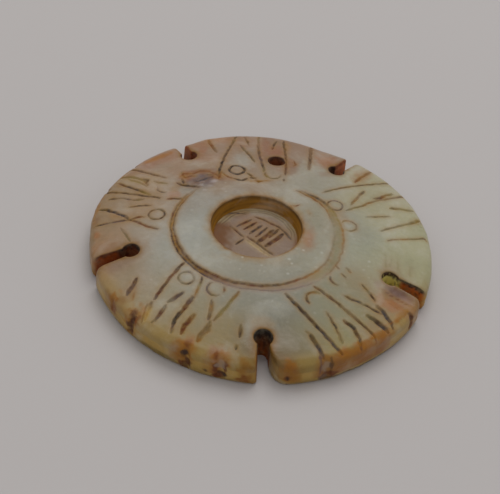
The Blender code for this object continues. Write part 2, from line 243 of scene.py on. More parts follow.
# Streaks of stain that aren't cut in, as the cuts
STREAKS = (
    (0.5, "amber rust rust redbrown rust redbrown rust", -16, 12, -15.6, 12.9, -13.8, 13,
     -12.5, 14.2, -11, 14.1, -9.7, 13.2, -8.7, 12.4),
    (0.4, "rust redbrown amber", -15.2, 11.6, -14.2, 12.2, -13.2, 12.2),
    (0.4, "dark slate brown", -11.6, 13.2, -10.5, 13, -9.9, 12.4),
    (0.7, "purple slate slate purple", -13.4, 10.4, -12.3, 11, -11, 12.1, -10.2, 12.3),
    (0.5, "amber rust faint", -8.7, 14.2, -8.9, 12.6, -8.2, 11.9),
    (0.4, "faint amber amber faint", -4.2, 12.4, -3.2, 12, -0.6, 12.6, 0.8, 12.9),
    (0.5, "rust amber", -19.6, -17.6, -19.8, -19),
    (0.35, "faint amber", 7.8, 4, 7.5, 5.2),
    (0.3, "faint purple redbrown rust faint", 20.2, -10.9, 21.2, -11.2, 22.4, -11.7, 23.8, -12.3,
     25.2, -13),
    (0.4, "none haze", 21.1, -1.7, 21, -5.8),
    (0.4, "none haze", 22.1, -2, 21.9, -5.6),
    (0.4, "none haze", 23.3, -3, 23.2, -5.6),
    (0.6, "none haze", 25.6, -3, 25.3, -6.6),
)

# Tube-drilled circles: place, radius, width, first bearing, last bearing and the stains on the way round
CIRCLES = (
    (-18.7, 0.8, 1.35, 0.5, 80, 440, "olive brown brown olive brown dark dark olive"),
    (-18.3, 8.3, 1.35, 0.4, 175, 290, "tan brown dark faint"),
    (-6, 15.3, 1.4, 0.6, 70, 430, "slate black black slate black black black black"),
    (0.7, 15, 1.4, 0.5, 170, 360, "faint yellow olive olive faint"),
    (12.2, 8.1, 1.35, 0.4, 0, 360, "purple brown purple brown brown dark brown purple"),
    (14.7, 3, 1.35, 0.4, -110, 150, "yellow olive tan brown amber yellow"),
    (13, -10.4, 1.35, 0.45, 172, 275, "dark redbrown brown faint"),
    (13, -10.4, 1.35, 0.4, 15, 65, "faint brown brown"),
    (9.3, -15.5, 1.4, 0.5, 60, 160, "yellow amber brown"),
    (9.3, -15.5, 1.4, 0.5, 160, 230, "brown brown dark rust"),
    (-6.8, -15.8, 1.4, 0.4, 110, 300, "faint slate purple purple olive faint"),
    (-6.8, -15.8, 1.4, 0.45, -25, 25, "faint rust redbrown faint"),
    (-11.8, -14, 1.3, 0.45, 85, 445, "olive faint olive faint olive brown faint faint purple"),
)

# The ring, about the recess: bearing, radius, half width, stains of its inner line, outer line and bed
RING = (
    (140, 14.1, 0.15, "none none none"),
    (150, 14.2, 0.2, "tan faint none"),
    (158, 14.3, 0.22, "rust amber tan"),
    (166, 14.35, 0.22, "brown olive tan"),
    (176, 14.4, 0.24, "brown redbrown tan"),
    (184, 14.5, 0.24, "dark olive amber"),
    (192, 14.5, 0.25, "brown brown tan"),
    (198, 14.5, 0.26, "redbrown dark amber"),
    (206, 14.55, 0.3, "dark dark umber"),
    (216, 14.6, 0.32, "umber black umber"),
    (226, 14.6, 0.34, "black slate black"),
    (236, 14.6, 0.36, "umber slate dark"),
    (246, 14.6, 0.42, "redbrown mauve slate"),
    (256, 14.6, 0.42, "brown mauve mauve"),
    (263, 14.6, 0.45, "brown mauve pink"),
    (270, 14.6, 0.42, "redbrown mauve pink"),
    (280, 14.7, 0.45, "brown mauve pink"),
    (290, 14.8, 0.55, "brown mauve pink"),
    (302, 14.9, 0.72, "rust mauve pink"),
    (315, 15, 0.8, "amber pink pale"),
    (328, 14.9, 0.8, "tan tan haze"),
    (345, 14.5, 0.85, "faint tan haze"),
    (355, 14.3, 0.8, "faint amber haze"),
    (366, 14.2, 0.75, "none amber haze"),
    (378, 14.1, 0.6, "faint yellow haze"),
    (388, 14.1, 0.5, "amber yellow haze"),
    (398, 13.9, 0.4, "rust brown tan"),
    (404, 13.6, 0.35, "rust dark brown"),
    (411, 13.1, 0.3, "brown brown tan"),
    (420, 12.8, 0.25, "brown none none"),
)

# Marks on the recess's floor, where they lie on it: as the cuts. The third is a painted highlight on the
# near bank of a groove, and the two before it are stain with painted shade on that groove's far bank.
FLOOR_MARKS = (
    # Dark lines along the far bank of the groove in the third row: stain, with painted shade of that bank
    (0.4, "faint redbrown dark", -5.9, 1.9, -4.8, 0.8, -3.4, -0.6),
    (0.5, "redbrown dark dark brown", -2.7, -0.5, -0.8, -1.9, 1, -3.6, 1.9, -4.2),
    # Painted highlight: the groove's near bank, pale where light falls on it
    (0.7, "bright bright bright bright", -2.7, -1.4, -1.5, -2.4, 0.4, -3.9, 1.4, -4.6),
    (0.45, "redbrown brown redbrown dark slate slate", -1.9, 5, -0.3, 4.6, 1.2, 3.7, 2.8, 2.9,
     4, 1.5, 4.9, 0.1),
    (0.4, "slate purple slate slate faint", -8.4, 3.5, -7.4, 4.3, -6.1, 5.2, -4.6, 5.5, -3, 5.7),
    (1, "dark redbrown dark", 1.7, 2, 0.5, 0.2, -0.8, -1.6),
    (1, "dark redbrown dark", 3.4, 1.3, 2.3, -0.4, 0.6, -2.3),
    (0.6, "slate dark slate", -0.4, 2.9, -1.3, 1.8, -2.4, 0.4),
    (0.6, "dark redbrown slate", -2.4, 4.1, -3.5, 3.1, -4.7, 2),
    (0.6, "redbrown dark redbrown", -1.4, 3.6, -2.3, 2.6, -3.4, 1.4),
    (0.7, "dark brown redbrown", 2.6, 2.4, 1.7, 1, 1.1, 0),
    (0.55, "brown slate redbrown", 0.6, 2.5, -0.3, 1.2, -1.2, -0.2),
    (0.5, "slate brown slate", -3.3, -1.2, -4, -2, -4.5, -2.7),
)

# The stone's cloudy colours, with painted shade: place and the colour that the polished face shows there.
# They are darker on the near side, towards -Y, as painted shade where the dome slopes away from the light.
CLOUDS_AND_SHADE = (
    (-27, 3, (153, 126, 92)),
    (-21, 2, (164, 140, 116)),
    (-15, -4, (162, 164, 156)),
    (-11, 4, (150, 145, 135)),
    (0, -11, (148, 143, 127)),
    (9, 2, (153, 146, 128)),
    (17, -2, (153, 154, 138)),
    (27, 2, (173, 170, 142)),
    (20, 13, (170, 164, 138)),
    (6, 15, (160, 155, 141)),
    (-5, 14, (148, 126, 104)),
    (-14, 19, (156, 130, 108)),
    (2, 24, (144, 118, 98)),
    (-24, -11, (154, 122, 95)),
    (-17, -18, (156, 142, 112)),
    (-16, -10, (168, 165, 155)),
    (-10, -14, (152, 148, 132)),
    (-8, -25, (142, 124, 82)),
    (3, -18, (121, 121, 107)),
    (4, -27, (108, 88, 50)),
    (13, -16, (133, 130, 105)),
    (15, -24, (142, 132, 84)),
    (22, -12, (146, 124, 84)),
    (24, -5, (159, 156, 123)),
)

# Where the white flecks gather: place and spread
FLECKED = (
    (-2, -9.5, 3),
    (4.5, -9, 2.5),
    (8.5, -6, 2.5),
    (16, -4, 3),
    (-9, 10, 2.5),
    (-16.5, -12.5, 2),
    (1, -16.5, 1.5),
)

# Broad stains, one of them partly painted shade: place, half lengths along X and Y, turn in degrees,
# colour, strength
PATCHES = (
    (-12, 11.4, 3.6, 2.2, 35, (104, 86, 88), 0.85),
    (-11, 12.2, 1.5, 0.8, 20, (74, 62, 72), 0.85),
    (-12.8, 10.9, 1, 0.6, 40, (74, 60, 70), 0.75),
    (-14.9, 12.2, 1.2, 1.5, 0, (136, 80, 44), 0.85),
    (-12.6, 14, 2.1, 0.8, 10, (124, 68, 38), 0.8),
    (-9.3, 12.7, 1.4, 0.9, -40, (108, 60, 42), 0.85),
    (-9.6, 13.1, 1, 1.2, 0, (132, 82, 60), 0.55),
    (-7.6, 12.4, 1.6, 0.9, 0, (148, 112, 88), 0.5),
    (-9.7, 11.3, 0.7, 0.5, 20, (176, 164, 160), 0.8),
    (-12.3, 10.9, 0.5, 0.4, 0, (170, 158, 158), 0.8),
    (-11.9, 9.8, 0.5, 0.4, 0, (166, 156, 152), 0.7),
    (-10.4, 9.6, 0.6, 0.4, 0, (168, 158, 152), 0.6),
    (-11.2, 8.2, 0.4, 0.35, 0, (168, 158, 150), 0.8),
    (-8, 8.9, 0.5, 0.4, 0, (166, 154, 144), 0.6),
    (-16.4, 6.4, 1.2, 1.1, 0, (158, 108, 78), 0.6),
    (-16.5, 8.3, 0.9, 1.5, 0, (152, 122, 84), 0.5),
    (-27, 6, 4, 9, 0, (142, 122, 98), 0.55),
    (-25.8, 11.5, 2.5, 2.5, 0, (148, 120, 78), 0.5),
    (-23.5, 14.3, 3.5, 2.6, 40, (150, 118, 100), 0.6),
    (-19.5, 18.5, 5, 2.3, 40, (154, 116, 92), 0.65),
    (-21, 18.3, 3, 0.7, 38, (152, 104, 62), 0.6),
    (-12.8, 21.8, 0.9, 1.9, -10, (146, 90, 50), 0.75),
    (-5.2, 18.6, 2, 2.8, 0, (164, 160, 150), 0.65),
    (-13.6, 15.8, 2.6, 1.5, 20, (158, 144, 126), 0.5),
    (-19.6, 15, 2.6, 1.3, 40, (156, 140, 122), 0.5),
    (-20.8, 18.4, 3.4, 0.7, 40, (160, 110, 56), 0.7),
    (-12.9, 23.5, 2.2, 0.9, 22, (164, 110, 70), 0.55),
    (-3.8, 22.8, 1.4, 1.8, 0, (156, 142, 128), 0.5),
    (-13.2, 18.7, 2.4, 1.6, 10, (146, 106, 76), 0.6),
    (-11, 25.6, 3.5, 1.4, 18, (158, 112, 72), 0.75),
    (-13.8, 23.4, 2.4, 1.6, 30, (150, 112, 84), 0.65),
    (-6, 25.8, 4, 2.2, 8, (150, 114, 86), 0.6),
    (-9.8, 22.4, 3.2, 2.6, 0, (148, 128, 112), 0.5),
    (-1.3, 23.8, 1.3, 4.5, 0, (142, 98, 72), 0.6),
    (1, 23.2, 1.7, 2.2, 0, (142, 88, 56), 0.65),
    (3.6, 19.4, 1.7, 1.9, 0, (132, 84, 54), 0.65),
    (3.4, 16.8, 1.8, 1.6, 0, (136, 96, 70), 0.5),
    (2.9, 25.8, 0.8, 1.8, 0, (156, 118, 74), 0.6),
    (1.1, 17.2, 2, 1, 0, (146, 120, 100), 0.5),
    (8.5, 23.8, 4.5, 3.2, -12, (150, 124, 102), 0.45),
    (10.8, 22, 2.4, 2.4, 30, (150, 98, 58), 0.8),
    (13.3, 23, 1.6, 2, -30, (142, 98, 72), 0.6),
    (10.4, 17.4, 1.5, 0.8, 0, (142, 110, 88), 0.4),
    (17.3, 19.4, 1.5, 3.2, -30, (152, 112, 72), 0.6),
    (-21.8, -8.2, 2.9, 2.5, 0, (140, 110, 76), 0.55),
    (-26, -8.6, 3, 2, 20, (140, 106, 78), 0.5),
    (-28.3, -8, 0.9, 1.4, 25, (152, 104, 56), 0.75),
    (-28.2, -4.6, 0.7, 0.8, 0, (158, 104, 60), 0.6),
    (-28.9, -1.2, 0.6, 1.4, 0, (140, 104, 74), 0.6),
    (-25.9, 0.4, 1, 0.8, 0, (160, 124, 80), 0.5),
    (-24, -11.6, 3, 1.6, 20, (128, 100, 82), 0.4),
    (-21.2, -18.9, 0.9, 0.9, 0, (140, 102, 60), 0.6),
    (-20, -16.9, 0.7, 1.8, 0, (148, 116, 76), 0.5),
    (-23.3, -19, 1, 2.4, 35, (136, 94, 46), 0.8),
    (-11, -26.9, 1.8, 1, 10, (138, 92, 40), 0.75),
    (-5.5, -28.3, 1.3, 1.6, 0, (138, 84, 38), 0.8),
    (-17.3, -21.6, 1.7, 2.2, 0, (142, 122, 82), 0.4),
    (0.9, -21.7, 2.2, 1.4, 0, (142, 116, 78), 0.6),
    (2.9, -25.6, 1, 2.4, 0, (124, 88, 50), 0.65),
    (0, -25.6, 0.9, 2.4, 0, (128, 100, 66), 0.45),
    (4.6, -28.2, 2.4, 1.2, 0, (116, 88, 58), 0.5),
    (6.4, -29, 1.3, 0.9, 0, (138, 84, 36), 0.7),
    (11.3, -27.6, 1.1, 1.8, -20, (132, 78, 40), 0.75),
    (14, -25.8, 2.6, 1, 35, (138, 88, 44), 0.85),
    (17.5, -23.6, 2.6, 1.2, 38, (142, 90, 46), 0.85),
    (20.6, -21, 2, 1.2, 42, (140, 84, 42), 0.85),
    (19, -20.2, 2.5, 2, 42, (142, 108, 70), 0.45),
    # Mauve over the flake's steep upper step: partly the scar's colour, partly painted shade of the step
    (23, -10.9, 3.4, 1.5, -18, (112, 82, 76), 0.9),
    (22, -13.6, 3, 1.7, -12, (158, 108, 68), 0.9),
    (25.2, -12.8, 1.8, 1.8, 0, (150, 110, 80), 0.65),
    (20.4, -11.6, 1.2, 3, 0, (150, 122, 88), 0.5),
    (21.3, -6.4, 2, 1.2, 20, (140, 116, 74), 0.45),
    (26.5, -14.6, 1.8, 2, 30, (146, 108, 60), 0.55),
    (16, -10.4, 2.4, 2.4, 0, (138, 120, 84), 0.4),
    (7.6, -2.2, 1.3, 2.8, 0, (150, 104, 66), 0.75),
    (6.6, 1.4, 1.4, 2.6, 0, (148, 130, 116), 0.4),
    (-1, -8.7, 6.5, 0.9, 0, (144, 122, 88), 0.4),
    (12.9, 5, 1.5, 2.2, 10, (142, 114, 82), 0.45),
)

# Grooves worn down the rim's wall: bearing, width and depth in millimetres, height of the foot
NICKS = (
    (148.5, 1.1, 0.4, 1.5),
    (164, 1.1, 0.45, 1.5),
    (219, 1, 0.2, 2),
    (229, 1.4, 0.5, 0.9),
    (250.2, 1.6, 0.5, 0.4),
    (261.2, 1.9, 0.45, 0.6),
    (281.8, 1.2, 0.25, 1.6),
    (293.6, 1.9, 0.45, 0.8),
    (329.5, 1.1, 0.3, 1.4),
)

# Stains round the rim, and one band of painted shade at the wall's foot: bearing, place across the rim,
# half width and half height in millimetres and the stain. A place above zero is inwards over the shoulder,
# and one below zero is down the wall.
RIM_STAINS = (
    (228.6, -0.4, 1.8, 3.4, "orange"),
    (228.2, 0.5, 0.7, 1.1, "redbrown"),
    (229.2, -0.6, 0.6, 1, "umber"),
    (228.5, -2.3, 0.8, 1.1, "umber"),
    (230.9, 0.2, 0.35, 1.2, "rust"),
    (218.4, 0, 0.9, 1.7, "orange"),
    (219.6, -1.6, 0.8, 1.4, "rust"),
    (204.5, -1.6, 1, 1.4, "tan"),
    (249.8, -0.2, 1.6, 3.6, "orange"),
    (249.7, 0.9, 0.6, 1.2, "rust"),
    (249.5, -1.1, 0.7, 0.8, "dark"),
    (250.9, -2.6, 0.7, 0.9, "umber"),
    (248.7, -3, 0.5, 0.7, "redbrown"),
    (249.9, -3.8, 0.9, 0.6, "umber"),
    (256.9, -2.7, 0.3, 0.35, "black"),
    (261, 0.2, 1.9, 2.4, "orange"),
    (259.3, 0.8, 0.5, 1.3, "rust"),
    (259.7, -1.8, 0.45, 1.8, "redbrown"),
    (262.7, -1.4, 0.4, 1.7, "redbrown"),
    (261.2, -0.9, 0.8, 1.1, "pink"),
    (261.3, -2.8, 0.7, 0.6, "umber"),
    (262.6, -2.9, 0.4, 0.5, "dark"),
    (260.4, -3.6, 1, 0.6, "redbrown"),
    (281.9, 0.2, 0.9, 1.3, "orange"),
    (283.2, -2.4, 1.7, 1.9, "amber"),
    (281.6, -2.4, 0.6, 0.5, "redbrown"),
    (281.8, -2.5, 0.3, 0.3, "black"),
    (277.6, -1.8, 1.3, 2, "amber"),
    (293.7, -0.5, 1.6, 2, "amber"),
    (291.9, -0.6, 0.35, 2.2, "purple"),
    (293.7, -1.2, 0.8, 1.2, "pink"),
    (295.4, -0.9, 0.35, 1.8, "brown"),
    (295.8, -3, 1, 0.9, "redbrown"),
    (292.8, -3.2, 0.8, 0.7, "purple"),
    (302, 0.4, 3, 1.2, "orange"),
    (309, 0.5, 3, 1.1, "orange"),
    (316, 0.5, 2.6, 1, "orange"),
    (324.5, 1.2, 1.3, 0.9, "orange"),
    (328.6, 1.2, 1.1, 1.1, "amber"),
    (329.8, -0.8, 0.6, 1.3, "umber"),
    (330.3, -2.3, 0.5, 1, "redbrown"),
    (164, -0.5, 0.7, 1.6, "tan"),
    (148.5, -0.5, 0.7, 1.6, "tan"),
    (155, -0.8, 2.6, 1.4, "amber"),
    (176, -0.8, 3.6, 1.6, "amber"),
    (190, -1, 3, 1.6, "faint"),
    # A dark olive band along the wall's foot: painted shade near the floor
    (240, -3.4, 4, 0.6, "olive"),
    (268.2, -1.2, 1, 2.6, "amber"),
    (268.6, -3.2, 1.2, 1.4, "rust"),
    (300, -3.7, 4.5, 0.35, "brown"),
    (312, -3.8, 5, 0.35, "brown"),
    (322, -3.8, 4, 0.35, "rust"),
)

# The lining of each opening through the stone: place, reach, its colour at the edge, on the wall and at
# the foot, and how strongly it has stained the face round it. In the right-hand keyhole the wall and foot
# colours are a painted glow of light through the stone.
LININGS = (
    (-21.75, -8.2, 2.6, (44, 22, 14), (100, 46, 20), (136, 60, 22), 0.8),
    (-25.6, -10.2, 2.9, (88, 42, 18), (156, 78, 28), (130, 62, 22), 0.7),
    (1.6, -24.2, 2.5, (24, 14, 12), (28, 16, 12), (140, 72, 24), 0.95),
    (1.8, -28.6, 2.7, (116, 70, 30), (100, 64, 34), (130, 84, 38), 0.8),
    # The right-hand keyhole's pale yellow wall and foot: painted glow of light passing through the stone
    (21.9, -8, 2.2, (52, 26, 8), (226, 214, 136), (206, 194, 116), 0.5),
    (25.8, -9.4, 3, (46, 22, 8), (180, 92, 18), (170, 100, 30), 0.4),
    (12.4, 19.5, 2.4, (50, 26, 18), (66, 36, 24), (80, 38, 22), 0.8),
    (14.2, 22.8, 2.9, (130, 72, 42), (196, 124, 84), (172, 104, 66), 0.6),
    (-15.3, 19.4, 2.4, (90, 46, 26), (130, 66, 40), (96, 44, 26), 0.8),
    (-16.8, 22.6, 3, (140, 80, 44), (160, 98, 62), (126, 76, 48), 0.5),
    (1.1, 19.8, 2.4, (74, 42, 28), (136, 80, 50), (156, 60, 34), 0.8),
)


class DiscSizes(bpy.types.PropertyGroup):
    """Sizes of the stone and its carving."""

    rim_radius: bpy.props.FloatProperty(
        name="Rim radius", default=29.7 * MM, unit="LENGTH",
        description="Radius of the disc before its rim was worn out of round",
    )
    crown_height: bpy.props.FloatProperty(
        name="Crown height", default=7.4 * MM, unit="LENGTH",
        description="Height of the domed face over its middle",
    )
    rim_height: bpy.props.FloatProperty(
        name="Rim height", default=4.6 * MM, unit="LENGTH",
        description="Height of the domed face at the rim",
    )
    edge_round: bpy.props.FloatProperty(
        name="Edge rounding", default=0.3 * MM, unit="LENGTH",
        description="Size of the worn rounding along every edge",
    )
    shoulder_drop: bpy.props.FloatProperty(
        name="Shoulder drop", default=0.5 * MM, unit="LENGTH",
        description="How far the rim's shoulder is worn down before its edge",
    )
    shoulder_width: bpy.props.FloatProperty(
        name="Shoulder width", default=1.6 * MM, unit="LENGTH",
        description="How far in from the rim the shoulder is worn",
    )
    recess_radius: bpy.props.FloatProperty(
        name="Recess radius", default=7.9 * MM, unit="LENGTH",
        description="Radius of the recess at the domed face",
    )
    recess_lean: bpy.props.FloatProperty(
        name="Recess lean", default=0.6 * MM, unit="LENGTH",
        description="How far the recess narrows towards its floor",
    )
    recess_depth: bpy.props.FloatProperty(
        name="Recess depth", default=2.7 * MM, unit="LENGTH",
        description="Depth of the recess",
    )
    keyhole_radius: bpy.props.FloatProperty(
        name="Keyhole radius", default=1.48 * MM, unit="LENGTH",
        description="Radius of the drilled hole at the end of each notch",
    )
    slot_width: bpy.props.FloatProperty(
        name="Slot width", default=1.75 * MM, unit="LENGTH",
        description="Width of a notch's slot next to its drilled hole",
    )
    string_hole_radius: bpy.props.FloatProperty(
        name="String hole radius", default=1.6 * MM, unit="LENGTH",
        description="Radius of the hole for a string",
    )
    cut_depth_share: bpy.props.FloatProperty(
        name="Cut depth", default=0.4, subtype="FACTOR",
        description="Depth of an engraved cut as a share of its width",
    )


class StoneLooks(bpy.types.PropertyGroup):
    """Colours and finish of the stone."""

    wall: bpy.props.FloatVectorProperty(
        name="Wall", default=(0.45, 0.285, 0.07), subtype="COLOR", size=3,
        description="Amber colour of the rim's wall",
    )
    fleck: bpy.props.FloatVectorProperty(
        name="Fleck", default=(0.62, 0.60, 0.53), subtype="COLOR", size=3,
        description="Colour of the white flecks in the jade",
    )
    roughness: bpy.props.FloatProperty(
        name="Roughness", default=0.34, subtype="FACTOR",
        description="Roughness of the polished jade",
    )
    glow: bpy.props.FloatProperty(
        name="Glow", default=0.3, subtype="FACTOR",
        description="Share of the light that passes through the stone's skin",
    )


class StageSettings(bpy.types.PropertyGroup):
    """The plain floor, the light and the camera."""

    floor_width: bpy.props.FloatProperty(
        name="Floor width", default=4.0, unit="LENGTH",
        description="Width of the square floor",
    )
    floor_colour: bpy.props.FloatVectorProperty(
        name="Floor colour", default=(0.56, 0.535, 0.53), subtype="COLOR", size=3,
        description="Colour of the plain floor",
    )
    camera_distance: bpy.props.FloatProperty(
        name="Camera distance", default=0.18, unit="LENGTH",
        description="Distance of the camera from the middle of the disc's underside",
    )
    camera_elevation: bpy.props.FloatProperty(
        name="Camera elevation", default=0.742, unit="ROTATION",
        description="How far the camera looks down",
    )
    camera_roll: bpy.props.FloatProperty(
        name="Camera roll", default=0.112, unit="ROTATION",
        description="How far the camera is turned about its own axis",
    )
    lens: bpy.props.FloatProperty(
        name="Lens", default=73.44, unit="CAMERA",
        description="Focal length of the camera in millimetres",
    )


def mm(name):
    """One of the disc's sizes, in millimetres."""
    return getattr(bpy.context.scene.disc_sizes, name) / MM


def daylight(colour):
    """A colour as it shows in plain daylight, from 0 to 255, made a linear colour of the stone."""
    richness = 1.12
    shares = np.asarray(colour, float) / 255
    linear = np.where(shares <= 0.04045, shares / 12.92, ((shares + 0.055) / 1.055) ** 2.4)
    grey = linear @ (0.3, 0.6, 0.1)
    return np.clip(grey + (linear - grey) * richness, 0.002, 1)


def tone(name):
    """A stain's linear colour and its strength, as four numbers."""
    colour, strength = TONES[name]
    return np.append(daylight(colour) * STAIN_SHADE, strength)


def stains_of(names):
    """The stains of a string of names, one row for each."""
    return np.array([tone(name) for name in names.split()])


def ripple(places, size, seed, waves=12):
    """A smooth uneven value of about -1 to 1 at each place, whose swells are about this size."""
    chance = np.random.default_rng(seed)
    flat = places.shape[1]
    total = np.zeros(len(places))
    for _ in range(waves):
        direction = chance.normal(size=flat)
        direction *= chance.uniform(0.7, 1.6) * math.tau / (size * 2 * np.linalg.norm(direction))
        total += np.cos(places @ direction + chance.uniform(0, math.tau))
    return total / math.sqrt(waves * 0.5) / 1.6


def wavy(flat, amount, size, seed):
    """The places, each moved by a smooth unevenness of this size."""
    return flat + amount * np.stack([ripple(flat, size, seed), ripple(flat, size, seed + 1)], 1)


def smooth(value, low, high):
    """0 below low, 1 above high and a smooth step between."""
    share = np.clip((value - low) / (high - low), 0, 1)
    return share * share * (3 - 2 * share)


def hump(value, width):
    """1 where the value is zero, with a smooth fall to 0 on both sides."""
    return np.exp(-((value / width) ** 2))


def bearings(flat):
    """Bearing in degrees of each place from the disc's middle."""
    return np.degrees(np.arctan2(flat[:, 1], flat[:, 0]))


def turned(bearing, middle):
    """Degrees from a middle bearing to each bearing, the shorter way round."""
    return (bearing - middle + 180) % 360 - 180


def round_rim(bearing, middle):
    """Millimetres round the rim from a middle bearing to each bearing."""
    return np.radians(turned(bearing, middle)) * RIM_REACH


def seen_from(flat, x, y, bearing):
    """How far each place lies ahead of a spot that faces this bearing, and how far to its left."""
    angle = math.radians(bearing)
    right = flat[:, 0] - x
    far = flat[:, 1] - y
    ahead = right * math.cos(angle) + far * math.sin(angle)
    aside = far * math.cos(angle) - right * math.sin(angle)
    return ahead, aside


def arc(x, y, radius, degrees):
    """Spots round a middle, one at each bearing."""
    turn = np.radians(degrees)
    return np.stack([x + radius * np.cos(turn), y + radius * np.sin(turn)], 1)


def blended(where, marked, rows):
    """Rows that are given at marked values, blended at each value between."""
    return np.stack([np.interp(where, marked, column) for column in rows.T], 1)


def rim_radius(bearing):
    """Radius of the outline in millimetres at bearings, with its swells and worn stretches."""
    radius = mm("rim_radius") + np.zeros_like(bearing)
    for middle, spread, amount in OUTLINE_SWELLS:
        radius += amount * hump(turned(bearing, middle), spread)
    return radius


def along(spots, places):
    """How far each place lies from a path, and where its nearest point is, counted in spots."""
    nearest = np.full(len(places), np.inf)
    where = np.zeros(len(places))
    for number in range(len(spots) - 1):
        step = spots[number + 1] - spots[number]
        share = np.clip((places - spots[number]) @ step / (step @ step), 0, 1)
        away = np.hypot(*(places - spots[number] - share[:, None] * step).T)
        closer = away < nearest
        nearest[closer] = away[closer]
        where[closer] = number + share[closer]
    return nearest, where


def near_path(places, spots, reach):
    """Whether each place lies within this reach of a path."""
    low = spots.min(0) - reach
    high = spots.max(0) + reach
    found = ((places > low) & (places < high)).all(1)
    found[found] = along(spots, places[found])[0] < reach
    return found


def rows_of(table):
    """The lines of a table, each as its width, its spots and their stains."""
    return [
        (width, np.array(places, float).reshape(-1, 2), stains_of(names))
        for width, names, *places in table
    ]


def marks():
    """Every engraved line of the domed face, as its width, its spots and their stains."""
    lines = rows_of(CUTS)
    pitch = 15
    for x, y, radius, width, first, last, names in CIRCLES:
        steps = max(6, round(abs(last - first) / pitch))
        spots = arc(x, y, radius, np.linspace(first, last, steps + 1))
        stains = stains_of(names)
        place = np.linspace(0, len(stains) - 1, steps + 1)
        lines.append((width, spots, blended(place, range(len(stains)), stains)))
    return lines


def ring_lines():
    """The ring's bed, its inner line and its outer line, each as spots, half widths and stains."""
    count = 141
    marked = np.array([row[0] for row in RING])
    fine = np.linspace(marked[0], marked[-1], count)
    radius = np.interp(fine, marked, [row[1] for row in RING])
    half = np.interp(fine, marked, [row[2] for row in RING])
    found = []
    for shift, column in ((0, 2), (-1, 0), (1, 1)):
        stains = np.array([tone(names.split()[column]) for *_, names in RING])
        spots = arc(*RECESS_PLACE, radius + shift * half, fine)
        found.append((spots, half, blended(fine, marked, stains)))
    return found


def deselect():
    """Deselects every object."""
    bpy.ops.object.select_all(action="DESELECT")


def choose(item):
    """Makes this the one selected and active object."""
    deselect()
    item.select_set(True)
    bpy.context.view_layer.objects.active = item


def edit(mode):
    """Enters edit mode with this kind of element to select."""
    kinds = ("VERT", "EDGE", "FACE")
    bpy.context.tool_settings.mesh_select_mode = [kind == mode for kind in kinds]
    bpy.ops.object.mode_set(mode="EDIT")


def leave():
    """Leaves edit mode."""
    bpy.ops.object.mode_set(mode="OBJECT")


def pick_all():
    """Selects every element in edit mode."""
    bpy.ops.mesh.select_all(action="SELECT")


def triangulate():
    """Makes the selected faces triangles."""
    bpy.ops.mesh.quads_convert_to_tris(quad_method="BEAUTY", ngon_method="BEAUTY")


def numbers(items, name, width):
    """One property of all items of a mesh, this many numbers to a row."""
    values = np.empty(len(items) * width)
    items.foreach_get(name, values)
    return values.reshape(-1, width)


def placed(name):
    """The new object, named, with its place in its mesh."""
    item = bpy.context.object
    item.name = name
    bpy.ops.object.transform_apply()
    return item


def upright(name, x, y, radius, low, high, sides):
    """An upright cylinder, in millimetres."""
    bpy.ops.mesh.primitive_cylinder_add(
        vertices=sides,
        radius=radius * MM,
        depth=(high - low) * MM,
        location=(x * MM, y * MM, (low + high) / 2 * MM),
    )
    return placed(name)


def drilled(name, x, y, radius, crown):
    """A drill's path through the blank, a little narrower below than at the domed face."""
    narrow = 0.62
    slope = radius * (1 - narrow) / crown
    bpy.ops.mesh.primitive_cone_add(
        vertices=32,
        radius1=(radius * narrow - slope) * MM,
        radius2=(radius + slope) * MM,
        depth=(crown + 2) * MM,
        location=(x * MM, y * MM, crown / 2 * MM),
    )
    return placed(name)


def slot_cutter(x, y, bearing, mouth, corners, lean, high):
    """A bar from a drilled hole's middle out past the rim, which widens and then flares at its mouth."""
    radius = mm("rim_radius")
    turn = math.radians(bearing)
    across = y * math.cos(turn) - x * math.sin(turn)
    inward = x * math.cos(turn) + y * math.sin(turn)
    steps = 7
    foot_share = 0.85
    beyond = 2
    bpy.ops.mesh.primitive_cube_add(size=2)
    item = bpy.context.object
    edit("EDGE")
    bpy.ops.mesh.select_all(action="DESELECT")
    leave()
    for edge in item.data.edges:
        ends = [item.data.vertices[number].co for number in edge.vertices]
        edge.select = abs(ends[0].x - ends[1].x) > 1
    edit("EDGE")
    bpy.ops.mesh.subdivide(number_cuts=steps + 1)
    leave()
    for vertex in item.data.vertices:
        place = round((vertex.co.x + 1) / 2 * (steps + 2))
        side = 1 if vertex.co.y > 0 else -1
        corner = corners[1 if side > 0 else 0]
        spread = min(corner, 0.9 + 0.55 * corner)
        half = mouth / 2
        rim = math.sqrt(radius**2 - (across + side * (half + spread)) ** 2) - inward
        rounding = math.pi / 2 * (place - 1) / steps
        out = rim - corner + corner * math.sin(rounding)
        wide = half + spread * (1 - math.cos(rounding))
        if place == 0:
            out, wide = 0, mm("slot_width") / 2
        elif place > steps + 1:
            out, wide = rim + beyond, half + spread + beyond
        if vertex.co.z > 0:
            vertex.co = (out, side * wide, high)
        else:
            vertex.co = (out, side * wide * foot_share + lean, -1)
    spin = Matrix.Rotation(turn, 4, "Z")
    item.data.transform(Matrix.Scale(MM, 4) @ Matrix.Translation((x, y, 0)) @ spin)
    return item


